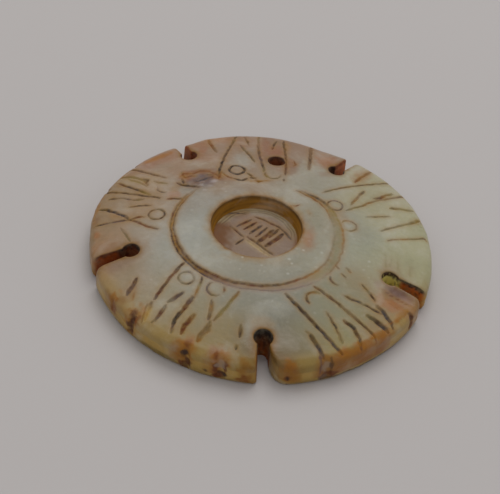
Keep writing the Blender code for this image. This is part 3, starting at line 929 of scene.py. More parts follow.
def blank():
    """The disc with an even top: its worn outline, notches, string hole and recess, all upright."""
    radius = mm("rim_radius")
    crown = mm("crown_height")
    disc = upright("carved_disc", 0, 0, radius, 0, crown, 192)
    for vertex in disc.data.vertices:
        bearing = math.degrees(math.atan2(vertex.co.y, vertex.co.x))
        share = float(rim_radius(np.array(bearing))) / radius
        vertex.co.x *= share
        vertex.co.y *= share
    high = crown + 1
    floor = crown - mm("recess_depth")
    cutters = [upright("recess", *RECESS_PLACE, mm("recess_radius"), floor, high, 96)]
    cutters.append(drilled("string", *STRING_HOLE_PLACE, mm("string_hole_radius"), crown))
    for x, y, bearing, mouth, first, second, lean in KEYHOLES:
        cutters.append(drilled("keyhole", x, y, mm("keyhole_radius"), crown))
        cutters.append(slot_cutter(x, y, bearing, mouth, (first, second), lean, high))
    choose(disc)
    for cutter in cutters:
        cut = disc.modifiers.new("cut", "BOOLEAN")
        cut.operation = "DIFFERENCE"
        cut.solver = "EXACT"
        cut.object = cutter
        bpy.ops.object.modifier_apply(modifier=cut.name)
    for cutter in cutters:
        bpy.data.objects.remove(cutter)
    return disc


def select_edges(disc, wanted):
    """Selects the edges for which wanted(ends, normals of the two faces) is true."""
    mesh = disc.data
    normals = {}
    for face in mesh.polygons:
        for key in face.edge_keys:
            normals.setdefault(key, []).append(face.normal.copy())
    for face in mesh.polygons:
        face.select = False
    for vertex in mesh.vertices:
        vertex.select = False
    for edge in mesh.edges:
        ends = [mesh.vertices[number].co / MM for number in edge.vertices]
        edge.select = wanted(ends, normals[edge.key])


def round_edges(disc):
    """Rounds every edge of the top and the underside, apart from the string hole's below."""
    crown = mm("crown_height")
    edge_round = bpy.context.scene.disc_sizes.edge_round

    def top_or_bottom(ends, normals):
        level = abs(ends[0].z - ends[1].z) < 0.01
        below = abs(ends[0].z) < 0.01 and (ends[0].xy - Vector(STRING_HOLE_PLACE)).length > 3
        outer = below or abs(ends[0].z - crown) < 0.01
        return level and outer and abs(abs(normals[0].z) - abs(normals[1].z)) > 0.5

    edit("VERT")
    pick_all()
    bpy.ops.mesh.remove_doubles(threshold=0.1 * MM)
    leave()
    select_edges(disc, top_or_bottom)
    edit("EDGE")
    bpy.ops.mesh.bevel(offset=edge_round, segments=3, affect="EDGES", clamp_overlap=False)
    leave()


def dice(disc, pitch):
    """Cuts the disc into small faces with planes across X, Y and Z."""
    reach = max(disc.dimensions) / 2 / MM
    crown = mm("crown_height")
    edit("VERT")
    spans = (((1, 0, 0), -reach, reach), ((0, 1, 0), -reach, reach), ((0, 0, 1), 0.6, crown - 0.6))
    for normal, low, high in spans:
        count = round((high - low) / pitch)
        for number in range(1, count):
            place = Vector(normal) * (low + (high - low) * number / count) * MM
            pick_all()
            bpy.ops.mesh.bisect(plane_co=place, plane_no=normal, threshold=0.00002)
    pick_all()
    bpy.ops.mesh.remove_doubles(threshold=0.03 * MM)
    triangulate()
    leave()


def refine(disc, lines, ring):
    """Splits the large faces of the top and the walls in four, then those along the carving again."""
    mesh = disc.data
    cut_margin = 0.28
    ring_margin = 0.35
    for carving_only, smallest in ((False, 0.09), (True, 0.03)):
        centre = numbers(mesh.polygons, "center", 3) / MM
        up = numbers(mesh.polygons, "normal", 3)[:, 2]
        large = numbers(mesh.polygons, "area", 1)[:, 0] / MM**2 > smallest
        flat = centre[:, :2]
        near = np.full(len(flat), not carving_only)
        if carving_only:
            for width, spots, _ in lines:
                near |= near_path(flat, spots, width / 2 + cut_margin)
            spots, half, _ = ring[0]
            near |= near_path(flat, spots, half.max() + ring_margin)
            near |= np.hypot(*(flat - RECESS_PLACE).T) < mm("recess_radius")
            near |= nicked(flat)
        split(disc, near & large & (up > -0.5))
    edit("VERT")
    pick_all()
    bpy.ops.mesh.dissolve_degenerate(threshold=0.01 * MM)
    triangulate()
    pick_all()
    bpy.ops.mesh.beautify_fill(angle_limit=math.radians(1))
    leave()


def nicked(flat):
    """Whether each place lies in a nick of the rim."""
    bearing = bearings(flat)
    outside = rim_radius(bearing) - np.hypot(*flat.T)
    found = np.zeros(len(flat), bool)
    for middle, width, *_ in NICKS:
        found |= (np.abs(round_rim(bearing, middle)) < width / 2 + 0.4) & (outside < 1.2)
    return found


def split(disc, near):
    """Splits the chosen faces in four, and leaves triangles."""
    mesh = disc.data
    for items in (mesh.vertices, mesh.edges, mesh.polygons):
        items.foreach_set("select", np.zeros(len(items), bool))
    mesh.polygons.foreach_set("select", near)
    edit("FACE")
    bpy.ops.mesh.subdivide(number_cuts=1)
    pick_all()
    triangulate()
    leave()


def edge_distance(flat):
    """Millimetres from the nearest opening or the outline, less than zero inside an opening."""
    slot = mm("slot_width")
    nearest = rim_radius(bearings(flat)) - np.hypot(*flat.T)
    rounds = [(*RECESS_PLACE, mm("recess_radius")), (*STRING_HOLE_PLACE, mm("string_hole_radius"))]
    rounds += [(x, y, mm("keyhole_radius")) for x, y, *_ in KEYHOLES]
    for x, y, radius in rounds:
        nearest = np.minimum(nearest, np.hypot(flat[:, 0] - x, flat[:, 1] - y) - radius)
    for x, y, bearing, mouth, *_ in KEYHOLES:
        ahead, aside = seen_from(flat, x, y, bearing)
        length = mm("rim_radius") - math.hypot(x, y)
        half = slot / 2 * (1 + (mouth / slot - 1) * np.clip(ahead / length, 0, 2))
        nearest = np.where(ahead > 0, np.minimum(nearest, np.abs(aside) - half), nearest)
    return nearest


def domed(flat):
    """Height of the domed face in millimetres at each place, with its worn shoulder."""
    radius = np.hypot(*flat.T)
    crown = mm("crown_height")
    height = crown - (crown - mm("rim_height")) * (radius / mm("rim_radius")) ** 2
    inward = 1 - (rim_radius(bearings(flat)) - radius) / mm("shoulder_width")
    return height - mm("shoulder_drop") * np.clip(inward, 0, 1) ** 2


def carved(flat, lines, ring):
    """How deep the carving and the damage go at each place, in millimetres."""
    share = bpy.context.scene.disc_sizes.cut_depth_share
    depth = np.zeros(len(flat))
    wobble = wavy(flat, *HAND_WOBBLE)
    for width, spots, stains in lines:
        cut, _, _ = line_profile(wobble, width / 2, spots, stains)
        depth = np.maximum(depth, share * width * cut)
    spots, half, _ = ring[0]
    depth = np.maximum(depth, sunk_ring(wobble, spots, half))
    return depth + flaked(flat) + worn(flat)


def sunk_ring(flat, spots, half):
    """Depth of the ring: a shallow bed between two lines, which fades out at both ends."""
    bed_depth = 0.22
    line_depth = 0.3
    depth = np.zeros(len(flat))
    found = np.flatnonzero(near_path(flat, spots, 1.2))
    away, where = along(spots, flat[found])
    reach = np.interp(where, range(len(spots)), half)
    fade = np.clip(np.minimum(where, len(spots) - 1 - where) / 8, 0, 1)
    fade *= np.minimum(1, 0.42 / reach) ** 1.5
    bed = smooth(reach + 0.22 - away, 0, 0.3) * bed_depth * fade
    line = (line_depth * np.clip(1 - np.abs(away - reach) / 0.25, 0, 1) ** 0.8) * fade
    depth[found] = np.maximum(bed, line)
    return depth


def flaked(flat):
    """The flake lost beside the right-hand notch, and the rough patch on the far side of the ring."""
    x, y = seen_from(flat, *FLAKE_PLACE)
    inside = 1 - (x / 3.2) ** 2 - (y / 2.2) ** 2 + 0.07 * ripple(flat, 1.2, 5)
    dish = 0.55 * np.clip(inside, 0, 1)
    ridge = 0.1 * hump(y + 0.25 + 0.12 * x, 0.3) * np.clip(inside * 3, 0, 1)
    rough = np.exp(-(((flat[:, 0] + 12.2) / 2.8) ** 2) - ((flat[:, 1] - 11.2) / 2.0) ** 2)
    return dish - ridge + rough * 0.12 * (1 + ripple(flat, 0.5, 6))


def worn(flat):
    """The stone's slow unevenness, with a finer one over it."""
    return 0.035 * (1 + ripple(flat, 4.0, 7)) + 0.012 * (1 + ripple(flat, 0.7, 8))


def line_profile(flat, half, spots, stains):
    """For one line at each place: how deep it is cut, how strong its stain is, and the stain's colour."""
    half = half + np.zeros(len(spots))
    cut = np.zeros(len(flat))
    strength = np.zeros(len(flat))
    colour = np.zeros((len(flat), 3))
    found = np.flatnonzero(near_path(flat, spots, half.max() * 1.5 + 0.7))
    if not len(found):
        return cut, strength, colour
    here = flat[found]
    away, where = along(spots, here)
    lengths = np.append(0, np.cumsum(np.hypot(*np.diff(spots, axis=0).T)))
    order = np.arange(len(spots))
    run = np.interp(where, order, lengths)
    ends = np.clip(np.minimum(run, lengths[-1] - run) / 0.7, 0, 1)
    closed = np.hypot(*(spots[0] - spots[-1])) < 0.01
    taper = 1 if closed else 0.6 + 0.4 * ends
    reach = np.interp(where, order, half) * taper * (1 + 0.15 * ripple(here, 0.8, len(spots)))
    cut[found] = 0.5 + 0.5 * np.cos(np.pi * np.clip(away / reach, 0, 1))
    core = 1 - smooth(away / reach, 0.55, 1.25)
    halo = 0.6 * hump(away, reach + 0.38)
    held = np.interp(where, order, stains[:, 3])
    strength[found] = held * np.maximum(core, halo) * (0.75 + 0.25 * ends)
    dashes = smooth(ripple(here, 0.75, 60 + len(spots)), -0.75, 0.25)
    warmth = (0.9 * (1 - core * (0.6 + 0.4 * dashes)))[:, None]
    own = blended(where, order, stains[:, :3])
    colour[found] = own * (1 - warmth) + np.maximum(own, daylight(CUT_HALO)) * warmth
    return cut, strength, colour


def rim_wear(bearing, height, top):
    """How far the rim is worn in at each bearing and height: nicks, corners and rounded edges."""
    depth = np.zeros(len(bearing))
    for middle, width, deep, foot in NICKS:
        lean = round_rim(bearing, middle) - 0.1 * (height - 3) * math.sin(middle)
        across = np.clip(1 - (2 * np.abs(lean) / width) ** 2, 0, 1)
        depth = np.maximum(depth, deep * across * smooth(height, foot - 0.5, foot + 0.7))
    low = 0.35 * np.clip(1 - height / 1.1, 0, 1) ** 2
    high = 0.15 * np.clip(1 - (top - height) / 1.3, 0, 1) ** 2
    return depth + low + high


def floor_relief(flat):
    """Depth of the strokes on the recess's floor, with the floor's own unevenness."""
    depth = np.zeros(len(flat))
    for width, spots, stains in rows_of(FLOOR_MARKS):
        cut, _, _ = line_profile(flat, width / 2, spots, stains)
        depth = np.maximum(depth, FLOOR_MARK_DEPTH * cut)
    return depth + 0.03 * (1 + ripple(flat, 1.2, 21))


def shape(disc, lines, ring):
    """Bends the even blank to the domed, carved and worn stone.

    A skin at the underside and at the face keeps its thickness, and what lies between is bent. Returns the
    place of every vertex, whether it lies in the recess and on its floor, and how far up it lies, from 0
    at the underside to 1 at the domed face.
    """
    sizes = bpy.context.scene.disc_sizes
    crown = mm("crown_height")
    mesh = disc.data
    at = numbers(mesh.vertices, "co", 3) / MM
    flat = at[:, :2].copy()
    height = at[:, 2].copy()
    top = domed(flat) - carved(flat, lines, ring)
    skin = 0.8
    share = np.clip((height - skin) / (crown - 2 * skin), 0, 1)
    at[:, 2] = height - (crown - top) * share
    recess = np.array(RECESS_PLACE)
    middle_away = np.hypot(*(flat - recess).T)
    radius = mm("recess_radius")
    blank_floor = crown - mm("recess_depth")
    inside = (middle_away < radius + 0.02) & (height > blank_floor - 0.01)
    floor = domed(recess + [[radius, 0]])[0] - mm("recess_depth")
    up = (height - blank_floor) / (crown - blank_floor)
    foot = 1 - sizes.edge_round / sizes.recess_depth
    lean = 1 - (sizes.recess_lean / radius / MM) * (1 - np.clip(up / foot, 0, 1))
    at[inside, :2] = recess + (flat[inside] - recess) * lean[inside, None]
    at[inside, 2] = floor + up[inside] * (top[inside] - floor)
    on_floor = inside & (up < 0.01)
    marked = smooth(radius - middle_away[on_floor], 0.6, 1.2)
    at[on_floor, 2] = floor - floor_relief(at[on_floor, :2]) * marked
    away = np.hypot(*flat.T)
    bearing = bearings(flat)
    worn_width = 1.4
    at_rim = np.clip(1 - (rim_radius(bearing) - away) / worn_width, 0, 1)
    depth = rim_wear(bearing, at[:, 2], top)
    chips = 0.03 * (1 + ripple(at, 2.2, 11)) + 0.015 * (1 + ripple(at, 0.6, 12))
    pull = 1 - at_rim * (depth + chips) / np.maximum(away, 1)
    at[:, :2] *= np.where(at_rim > 0, pull, 1)[:, None]
    at[:, 2] = np.minimum(at[:, 2], CAD_TOP)
    mesh.vertices.foreach_set("co", (at * MM).ravel())
    mesh.update()
    return at, inside, on_floor, share


def lay(colours, colour, strength):
    """Lays a stain of this strength over the colours."""
    strength = np.clip(strength, 0, 1)[:, None]
    return colours * (1 - strength) + np.asarray(colour) * strength


def over(stain, amount, colour, strength):
    """One stain laid over another: the mixed colour and how far both together hide the stone."""
    total = strength + amount * (1 - strength)
    mixed = colour * strength[:, None] + stain * (amount * (1 - strength))[:, None]
    keep = (total < 1e-4)[:, None]
    return np.where(keep, stain, mixed / np.maximum(total, 1e-4)[:, None]), total


def plain_colour(colour, count):
    """The same linear colour for this many places."""
    return np.zeros((count, 3)) + colour


def clouds_and_shade(flat):
    """The stone's colour at each place, blended from its cloudy colours, with the painted shade that they
    hold.
    """
    spread = 4.2
    total = np.zeros((len(flat), 3))
    weights = np.zeros((len(flat), 1)) + 1e-12
    drift = wavy(flat, 1.2, 5.0, 34)
    for x, y, colour in CLOUDS_AND_SHADE:
        weight = np.exp(-((drift - (x, y)) ** 2).sum(1) / (2 * spread**2))[:, None]
        total += weight * daylight(colour)
        weights += weight
    return total / weights


def paint_ground(at, share):
    """The stone's colour, with the painted shade of its cloudy colours, the amber of its wall, darker
    towards its foot as painted shade, and its broad stains, one partly painted shade.
    """
    flat = at[:, :2]
    away = np.hypot(*flat.T)
    outside = rim_radius(bearings(flat) % 360) - away
    # The cloudy colours hold painted shade: darker on the near side, towards -Y
    ground = clouds_and_shade(flat)
    wall = (1 - smooth(share, 0.8, 1.0)) * (away > 20)
    amber = 0.35 + 0.6 * smooth(-flat[:, 1], -10, 10) + 0.1 * ripple(flat, 3.0, 33)
    shoulder = 0.5 * (1 - smooth(outside, 0.3, 3.0)) * smooth(-flat[:, 1], 4, 16)
    wall_colour = np.array(bpy.context.scene.stone_looks.wall)
    # The wall's amber is darker towards its foot, down to 0.65 of it at the floor: painted shade near the
    # floor
    under = wall_colour * (0.65 + 0.35 * smooth(at[:, 2], 0.2, 2.0)[:, None])
    ground = lay(ground, under, np.maximum(wall, shoulder) * amber)
    grain = ripple(flat, 0.9, 32)
    # Broad stains, one of which is partly painted shade over the flake's upper step
    for x, y, long, wide, turn, colour, strength in PATCHES:
        ahead, aside = seen_from(flat, x, y, turn)
        hold = 1 - smooth(np.hypot(ahead / long, aside / wide) + 0.16 * grain, 0.35, 1.5)
        ground = lay(ground, daylight(colour), strength * hold * (share > 0.2))
    return ground


def paint(disc, lines, ring, at, inside, on_floor, share):
    """Writes the stone's colour and its stains, with painted shade, a painted highlight and a painted glow
    among them, its roughening and its flecks on the vertices.
    """
    flat = at[:, :2]
    count = len(at)
    bearing = bearings(flat) % 360
    away = np.hypot(*flat.T)
    ground = paint_ground(at, share)
    stain = plain_colour(daylight(TONES["brown"][0]), count)
    amount = np.zeros(count)
    rough = np.zeros(count)
    wobble = wavy(flat, *HAND_WOBBLE)
    drawn = [(width / 2, spots, stains) for width, spots, stains in lines + rows_of(STREAKS)]
    bed, *edges = ring
    drawn.append((bed[1] + 0.12, bed[0], bed[2]))
    drawn += [(np.clip(half * 0.6, 0.12, 0.24), spots, stains) for spots, half, stains in edges]
    on_top = share > 0.95
    for half, spots, stains in drawn:
        cut, strength, colour = line_profile(wobble, half, spots, stains)
        stain, amount = over(stain, amount, colour, strength * (on_top & ~inside))
        rough = np.maximum(rough, cut * on_top)
    strength, colour = rim_stains(bearing, at[:, 2], rim_radius(bearing) - away)
    stain, amount = over(stain, amount, colour, strength * smooth(away, 25.5, 27.0))
    stain, amount, rough = line_openings(at, stain, amount, rough, share)
    ground, stain, amount, rough = paint_recess(at, ground, stain, amount, rough, inside, on_floor)
    flecked = 0.15 * (away < 25)
    for x, y, spread in FLECKED:
        flecked = np.maximum(flecked, np.exp(-((flat - (x, y)) ** 2).sum(1) / spread**2))
    opaque = np.ones(count)
    write(disc.data, "flecked", "FLOAT", flecked * on_top)
    # The ground colour holds painted shade: in the cloudy colours, at the wall's foot and over the flake's
    # upper step
    write(disc.data, "ground", "FLOAT_COLOR", np.column_stack([ground, opaque]))
    # The stain layer also carries painted light and shade: the glow in the right-hand keyhole, the lit and
    # shaded banks of a groove on the recess's floor, and the shaded band at the wall's foot
    write(disc.data, "stain", "FLOAT_COLOR", np.column_stack([stain, opaque]))
    write(disc.data, "stain_amount", "FLOAT", np.clip(amount, 0, 1))
    write(disc.data, "roughening", "FLOAT", np.clip(rough, 0, 1))


def rim_stains(bearing, height, away):
    """The stain of the rim's wall and shoulder at each place, with a band of painted shade at its foot:
    its strength and colour.
    """
    across = np.where(away < 0.9, np.minimum(height - 4.3, 0), away)
    count = len(bearing)
    strength = np.zeros(count)
    colour = plain_colour(daylight(TONES["brown"][0]), count)
    places = np.stack([np.radians(bearing) * RIM_REACH, across], 1)
    ragged = 0.3 * ripple(places, 0.8, 51)
    for middle, place, wide, tall, name in RIM_STAINS:
        beside = round_rim(bearing, middle) / wide
        hold = 1 - smooth(np.hypot(beside, (across - place) / tall) + ragged, 0.45, 1.25)
        stain = tone(name)
        colour, strength = over(colour, strength, plain_colour(stain[:3], count), stain[3] * hold)
    return strength, colour


def line_openings(at, stain, amount, rough, share):
    """The stained lining of the notches and holes, with its crust and the halo round each; in the
    right-hand keyhole the lining's wall and foot colours are a painted glow of light through the stone.
    """
    flat = at[:, :2]
    near = edge_distance(flat)
    drop = domed(flat) - at[:, 2] + 0.32 * ripple(at, 0.45, 47)
    inner = (near < 0.42) & (share < 0.999) | (near < 0.1)
    ragged = np.clip(near + 0.1 * ripple(flat, 0.9, 48), 0, 9)
    around = hump(ragged, 0.65) * (share > 0.95) * ~inner
    mouth = 1 - smooth(np.hypot(*flat.T), 28.6, 29.6) * 0.6
    up = smooth(at[:, 2], 1.0, 5.2)[:, None]
    specks = 0.55 * smooth(ripple(at, 0.55, 55), 0.1, 0.8)
    crust = np.maximum(1 - smooth(drop, 0.6, 1.1), specks)
    halo = plain_colour(daylight(OPENING_HALO), len(at))
    for x, y, reach, edge, high, low, spread in LININGS:
        distance = np.hypot(flat[:, 0] - x, flat[:, 1] - y)
        hold = (1 - smooth(distance, reach * 0.75, reach)) * inner
        close = 1 - smooth(distance, reach, reach + 1)
        colour = lay(daylight(high) * up + daylight(low) * (1 - up), daylight(edge), crust)
        stain, amount = over(stain, amount, halo, spread * around * close)
        stain, amount = over(stain, amount, colour, 0.93 * hold * mouth)
        rough = np.maximum(rough, hold)
    return stain, amount, rough


def paint_recess(at, ground, stain, amount, rough, inside, on_floor):
    """The brown wall and the mauve floor of the recess, with its stained strokes, among them a painted
    highlight and painted shade on the banks of one groove.
    """
    flat = at[:, :2]
    x, y = flat.T
    away = np.hypot(*(flat - RECESS_PLACE).T)
    wall = inside & ~on_floor
    bearing = np.arctan2(y - RECESS_PLACE[1], x - RECESS_PLACE[0])
    turned_places = np.stack([3 * np.cos(bearing), 3 * np.sin(bearing), 4 * at[:, 2]], 1)
    rings = ripple(turned_places, 1.3, 41)
    brown = daylight(RECESS["wall"]) * (1 + 0.22 * rings[:, None])
    brown = lay(brown, daylight(RECESS["wall top"]), 0.65 * smooth(at[:, 2] + 0.1 * rings, 6.3, 6.8))
    ground = np.where(wall[:, None], brown, ground)
    lip = hump(away - 8.1, 0.3) * ~inside * (at[:, 2] > 5)
    halo = (1 - smooth(away + 0.3 * ripple(flat, 1.5, 43), 8.2, 9.5)) * ~inside * (at[:, 2] > 5)
    ground = lay(ground, daylight(RECESS["halo"]), 0.45 * halo)
    ground = lay(ground, daylight(RECESS["lip"]), lip * (0.65 + 0.25 * ripple(flat, 1.2, 44)))
    out = away + 0.12 * ripple(flat, 2.0, 42)
    sloping = smooth(out, 5.7, 6.4) * smooth(y, -1.5, 2.5)
    left = smooth(-x + 0.4 * ripple(flat, 0.9, 45), 4.4, 7.0) * (1 - smooth(y, 1.6, 3.2))
    rusty = np.exp(-(((x + 2.6) / 1.5) ** 2) - ((y - 3.0) / 1.6) ** 2)
    near_right = smooth(away, 6.3, 7.3) * smooth(x - y, 2.0, 7.0)
    layers = (
        ("slope", 0.9 * sloping),
        ("rings", 0.6 * hump(out - 5.8, 0.15) * sloping),
        ("rings", 0.8 * hump(out - 6.35, 0.15) * sloping),
        ("rings", 0.6 * hump(out - 6.85, 0.15) * sloping),
        ("left", left),
        ("rust", 0.7 * rusty * (0.7 + 0.4 * ripple(flat, 0.8, 46))),
        ("right", 0.8 * near_right),
    )
    floor = plain_colour(daylight(RECESS["floor"]), len(at))
    for name, strength in layers:
        floor = lay(floor, daylight(RECESS[name]), strength)
    ground = np.where(on_floor[:, None], floor, ground)
    # The floor's strokes, with the painted highlight and painted shade on the banks of one groove
    for width, spots, stains in rows_of(FLOOR_MARKS):
        cut, strength, colour = line_profile(flat, width / 2, spots, stains)
        stain, amount = over(stain, amount, colour, strength * on_floor)
        rough = np.maximum(rough, cut * on_floor)
    rough = np.maximum(rough, 0.6 * wall + 0.35 * on_floor)
    return ground, stain, amount, rough


def write(mesh, name, kind, values):
    """Writes a value or a colour on every vertex of the mesh."""
    layer = mesh.attributes.new(name, kind, "POINT")
    field = "color" if kind == "FLOAT_COLOR" else "value"
    layer.data.foreach_set(field, np.asarray(values, float).ravel())


class Nodes:
    """Adds nodes to a material and links them."""

    def __init__(self, tree):
        self.tree = tree

    def add(self, kind, **settings):
        """A new node with these settings."""
        node = self.tree.nodes.new(kind)
        for name, value in settings.items():
            setattr(node, name, value)
        return node

    def feed(self, socket, value):
        """Gives a socket a number, a colour or another node's output."""
        if isinstance(value, (int, float)):
            socket.default_value = value
        elif isinstance(value, tuple):
            socket.default_value = (*value, 1)
        else:
            self.tree.links.new(value, socket)

    def attribute(self, name, output="Fac"):
        """A value or a colour that is written on the mesh."""
        return self.add("ShaderNodeAttribute", attribute_name=name).outputs[output]

    def noise(self, vector, scale, detail, roughness=0.55, distortion=0.0):
        """A noise of this scale at the places."""
        node = self.add("ShaderNodeTexNoise")
        self.feed(node.inputs["Scale"], scale)
        self.feed(node.inputs["Detail"], detail)
        self.feed(node.inputs["Roughness"], roughness)
        self.feed(node.inputs["Distortion"], distortion)
        self.feed(node.inputs["Vector"], vector)
        return node.outputs["Fac"]

    def span(self, value, low, high, new_low, new_high):
        """A value's range made another range, and held in it."""
        node = self.add("ShaderNodeMapRange")
        self.feed(node.inputs["From Min"], low)
        self.feed(node.inputs["From Max"], high)
        self.feed(node.inputs["To Min"], new_low)
        self.feed(node.inputs["To Max"], new_high)
        self.feed(node.inputs["Value"], value)
        return node.outputs["Result"]

    def combine(self, kind, first, second):
        """Two values added, multiplied or otherwise combined."""
        node = self.add("ShaderNodeMath", operation=kind)
        self.feed(node.inputs[0], first)
        self.feed(node.inputs[1], second)
        return node.outputs["Value"]

    def mix(self, factor, first, second, blend="MIX"):
        """Two colours mixed, by the factor and colour sockets of a Mix node."""
        node = self.add("ShaderNodeMix", data_type="RGBA", blend_type=blend)
        self.feed(node.inputs[0], factor)
        self.feed(node.inputs[6], first)
        self.feed(node.inputs[7], second)
        return node.outputs[2]


def jade_material():
    """Polished jade: cloudy ground, white flecks, stains that hold in the cuts, and a fine worn skin."""
    looks = bpy.context.scene.stone_looks
    material = bpy.data.materials.new("stained jade")
    material.use_nodes = True
    made = Nodes(material.node_tree)
    shader = material.node_tree.nodes["Principled BSDF"]
    fleck_colour = tuple(looks.fleck)
    where = made.add("ShaderNodeTexCoord").outputs["Object"]
    cloud = made.noise(where, 150, 6, 0.6, 0.4)
    grain = made.noise(where, 1300, 4, 0.6)
    veins = made.noise(where, 420, 5, 0.65, 1.2)
    colour = made.mix(made.span(cloud, 0.5, 0.72, 0, 0.3), made.attribute("ground", "Color"), fleck_colour)
    for value, low, high, least, most, shade in (
        (cloud, 0.48, 0.3, 0, 0.55, (0.80, 0.82, 0.74)),
        (veins, 0.56, 0.7, 0, 0.35, (0.86, 0.80, 0.66)),
        (grain, 0.35, 0.65, 0.25, 0, (0.72, 0.70, 0.66)),
    ):
        colour = made.mix(made.span(value, low, high, least, most), colour, shade, "MULTIPLY")
    cells = made.add("ShaderNodeTexVoronoi", voronoi_dimensions="3D")
    made.feed(cells.inputs["Scale"], 820)
    made.feed(cells.inputs["Vector"], where)
    dot = made.span(cells.outputs["Distance"], 0.1, 0.32, 1, 0)
    chosen = made.span(cells.outputs["Color"], 0.58, 0.8, 0, 0.75)
    some = made.combine("MULTIPLY", made.attribute("flecked"), chosen)
    clean = made.span(made.attribute("roughening"), 0, 0.5, 1, 0)
    fleck = made.combine("MULTIPLY", made.combine("MULTIPLY", dot, some), clean)
    colour = made.mix(fleck, colour, fleck_colour)
    hold = made.span(made.noise(where, 900, 4, 0.65), 0.34, 0.58, 0.72, 1.05)
    amount = made.combine("MULTIPLY", made.attribute("stain_amount"), hold)
    colour = made.mix(amount, colour, made.attribute("stain", "Color"))
    made.feed(shader.inputs["Base Color"], colour)
    wear = made.combine("MULTIPLY", made.attribute("roughening"), 0.4)
    polish = made.span(cloud, 0.3, 0.7, looks.roughness - 0.06, looks.roughness + 0.1)
    rough = made.combine("ADD", wear, polish)
    rough = made.combine("ADD", rough, made.span(grain, 0.3, 0.7, -0.03, 0.05))
    made.feed(shader.inputs["Roughness"], rough)
    bump = made.add("ShaderNodeBump")
    pits = made.combine("ADD", made.noise(where, 2600, 3), made.combine("MULTIPLY", veins, 0.5))
    made.feed(bump.inputs["Strength"], 0.35)
    made.feed(bump.inputs["Distance"], 0.06 * MM)
    made.feed(bump.inputs["Height"], pits)
    made.feed(shader.inputs["Normal"], bump.outputs["Normal"])
    shader.inputs["IOR"].default_value = 1.6
    shader.inputs["Specular IOR Level"].default_value = 0.25
    shader.inputs["Subsurface Weight"].default_value = looks.glow
    shader.inputs["Subsurface Radius"].default_value = (1.0, 0.85, 0.5)
    shader.inputs["Subsurface Scale"].default_value = 0.7 * MM
    return material


class OBJECT_OT_carve_jade_disc(bpy.types.Operator):
    """Carve the stained jade disc where its solid lies"""

    bl_idname = "object.carve_jade_disc"
    bl_label = "Carve Jade Disc"

    def execute(self, context):
        deselect()
        disc = blank()
        round_edges(disc)
        dice(disc, pitch=0.7)
        lines = marks()
        ring = ring_lines()
        refine(disc, lines, ring)
        paint(disc, lines, ring, *shape(disc, lines, ring))
        bpy.ops.object.shade_smooth()
        disc.data.materials.append(jade_material())
        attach(disc, "root")
        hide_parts("jade_disc")
        return {"FINISHED"}


def plain_material(name, colour, roughness):
    """A material of one even colour, for the floor."""
    material = bpy.data.materials.new(name)
    material.use_nodes = True
    shader = material.node_tree.nodes["Principled BSDF"]
    shader.inputs["Base Color"].default_value = (*colour, 1)
    shader.inputs["Roughness"].default_value = roughness
    shader.inputs["Specular IOR Level"].default_value = 0.2
    return material


def area_light(name, place, target, width, power, colour):
    """A square soft light that faces the target."""
    data = bpy.data.lights.new(name, "AREA")
    data.shape = "SQUARE"
    data.size = width
    data.energy = power
    data.color = colour
    light = bpy.data.objects.new(name, data)
    bpy.context.scene.collection.objects.link(light)
    light.location = place
    light.rotation_mode = "QUATERNION"
    light.rotation_quaternion = (Vector(target) - Vector(place)).to_track_quat("-Z", "Y")


def add_camera(scene):
    """A camera that looks down on the disc, rolled a little, with the disc just off its middle."""
    stage = scene.stage_settings
    data = bpy.data.cameras.new("camera")
    data.lens = stage.lens
    data.sensor_width = 36
    data.clip_start = 0.01
    camera = bpy.data.objects.new("camera", data)
    scene.collection.objects.link(camera)
    elevation, roll = stage.camera_elevation, stage.camera_roll
    aim_above, aim_left = 1.530, 1.878
    back = Vector((0, -math.cos(elevation), math.sin(elevation)))
    right = Vector((1, 0, 0))
    up = back.cross(right)
    across = right * math.cos(roll) + up * math.sin(roll)
    above = up * math.cos(roll) - right * math.sin(roll)
    aim = above * aim_above * MM - across * aim_left * MM
    turn = Matrix((across, above, back)).transposed().to_4x4()
    camera.matrix_world = Matrix.Translation(aim + back * stage.camera_distance) @ turn
    scene.camera = camera


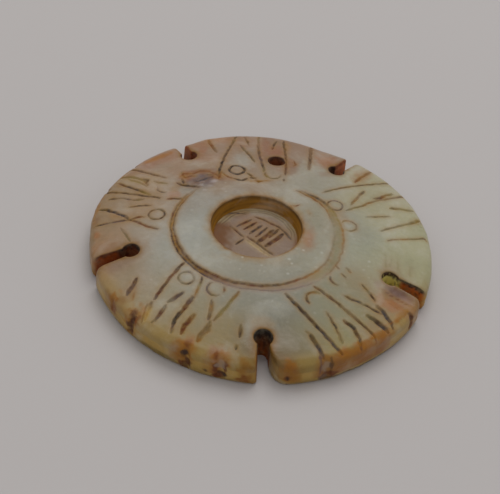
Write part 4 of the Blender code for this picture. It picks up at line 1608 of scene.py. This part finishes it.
class SCENE_OT_set_studio(bpy.types.Operator):
    """Set up the plain floor, the soft light and the camera"""

    bl_idname = "scene.set_studio"
    bl_label = "Set Studio"

    def execute(self, context):
        stage = context.scene.stage_settings
        deselect()
        bpy.ops.mesh.primitive_plane_add(size=stage.floor_width)
        floor = context.object
        floor.name = "floor"
        floor.data.materials.append(plain_material("floor", stage.floor_colour, 0.8))
        world = bpy.data.worlds.new("soft room")
        context.scene.world = world
        world.use_nodes = True
        sky = world.node_tree.nodes["Background"]
        sky.inputs["Color"].default_value = (*LIGHT_COLOUR, 1)
        sky.inputs["Strength"].default_value = 0.5
        area_light("key", (0.1, 0.55, 1.0), (0, 0, 0), width=0.8, power=4.4, colour=LIGHT_COLOUR)
        add_camera(context.scene)
        context.scene.view_settings.view_transform = "Standard"
        return {"FINISHED"}


class VIEW3D_PT_jade_bi_disc(bpy.types.Panel):
    """Sizes, looks and steps of the jade bi disc"""

    bl_label = "Jade bi disc"
    bl_space_type = "VIEW_3D"
    bl_region_type = "UI"
    bl_category = "Jade bi disc"

    def draw(self, context):
        layout = self.layout
        for group, operator in (
            ("disc_sizes", OBJECT_OT_carve_jade_disc),
            ("stone_looks", None),
            ("stage_settings", SCENE_OT_set_studio),
        ):
            settings = getattr(context.scene, group)
            for name in settings.__annotations__:
                layout.prop(settings, name)
            if operator:
                layout.operator(operator.bl_idname)


CLASSES = (
    DiscSizes,
    StoneLooks,
    StageSettings,
    OBJECT_OT_carve_jade_disc,
    SCENE_OT_set_studio,
    VIEW3D_PT_jade_bi_disc,
)
GROUPS = {"disc_sizes": DiscSizes, "stone_looks": StoneLooks, "stage_settings": StageSettings}


def register():
    """Registers the classes and hangs their settings on the scene."""
    for made in CLASSES:
        bpy.utils.register_class(made)
    for name, group in GROUPS.items():
        setattr(bpy.types.Scene, name, bpy.props.PointerProperty(type=group))


def unregister():
    """Takes the settings and the classes away again."""
    for name in GROUPS:
        delattr(bpy.types.Scene, name)
    for made in reversed(CLASSES):
        bpy.utils.unregister_class(made)


def main():
    """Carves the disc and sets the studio."""
    register()
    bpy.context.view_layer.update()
    bpy.ops.object.carve_jade_disc()
    bpy.ops.scene.set_studio()


if __name__ == "__main__":
    main()
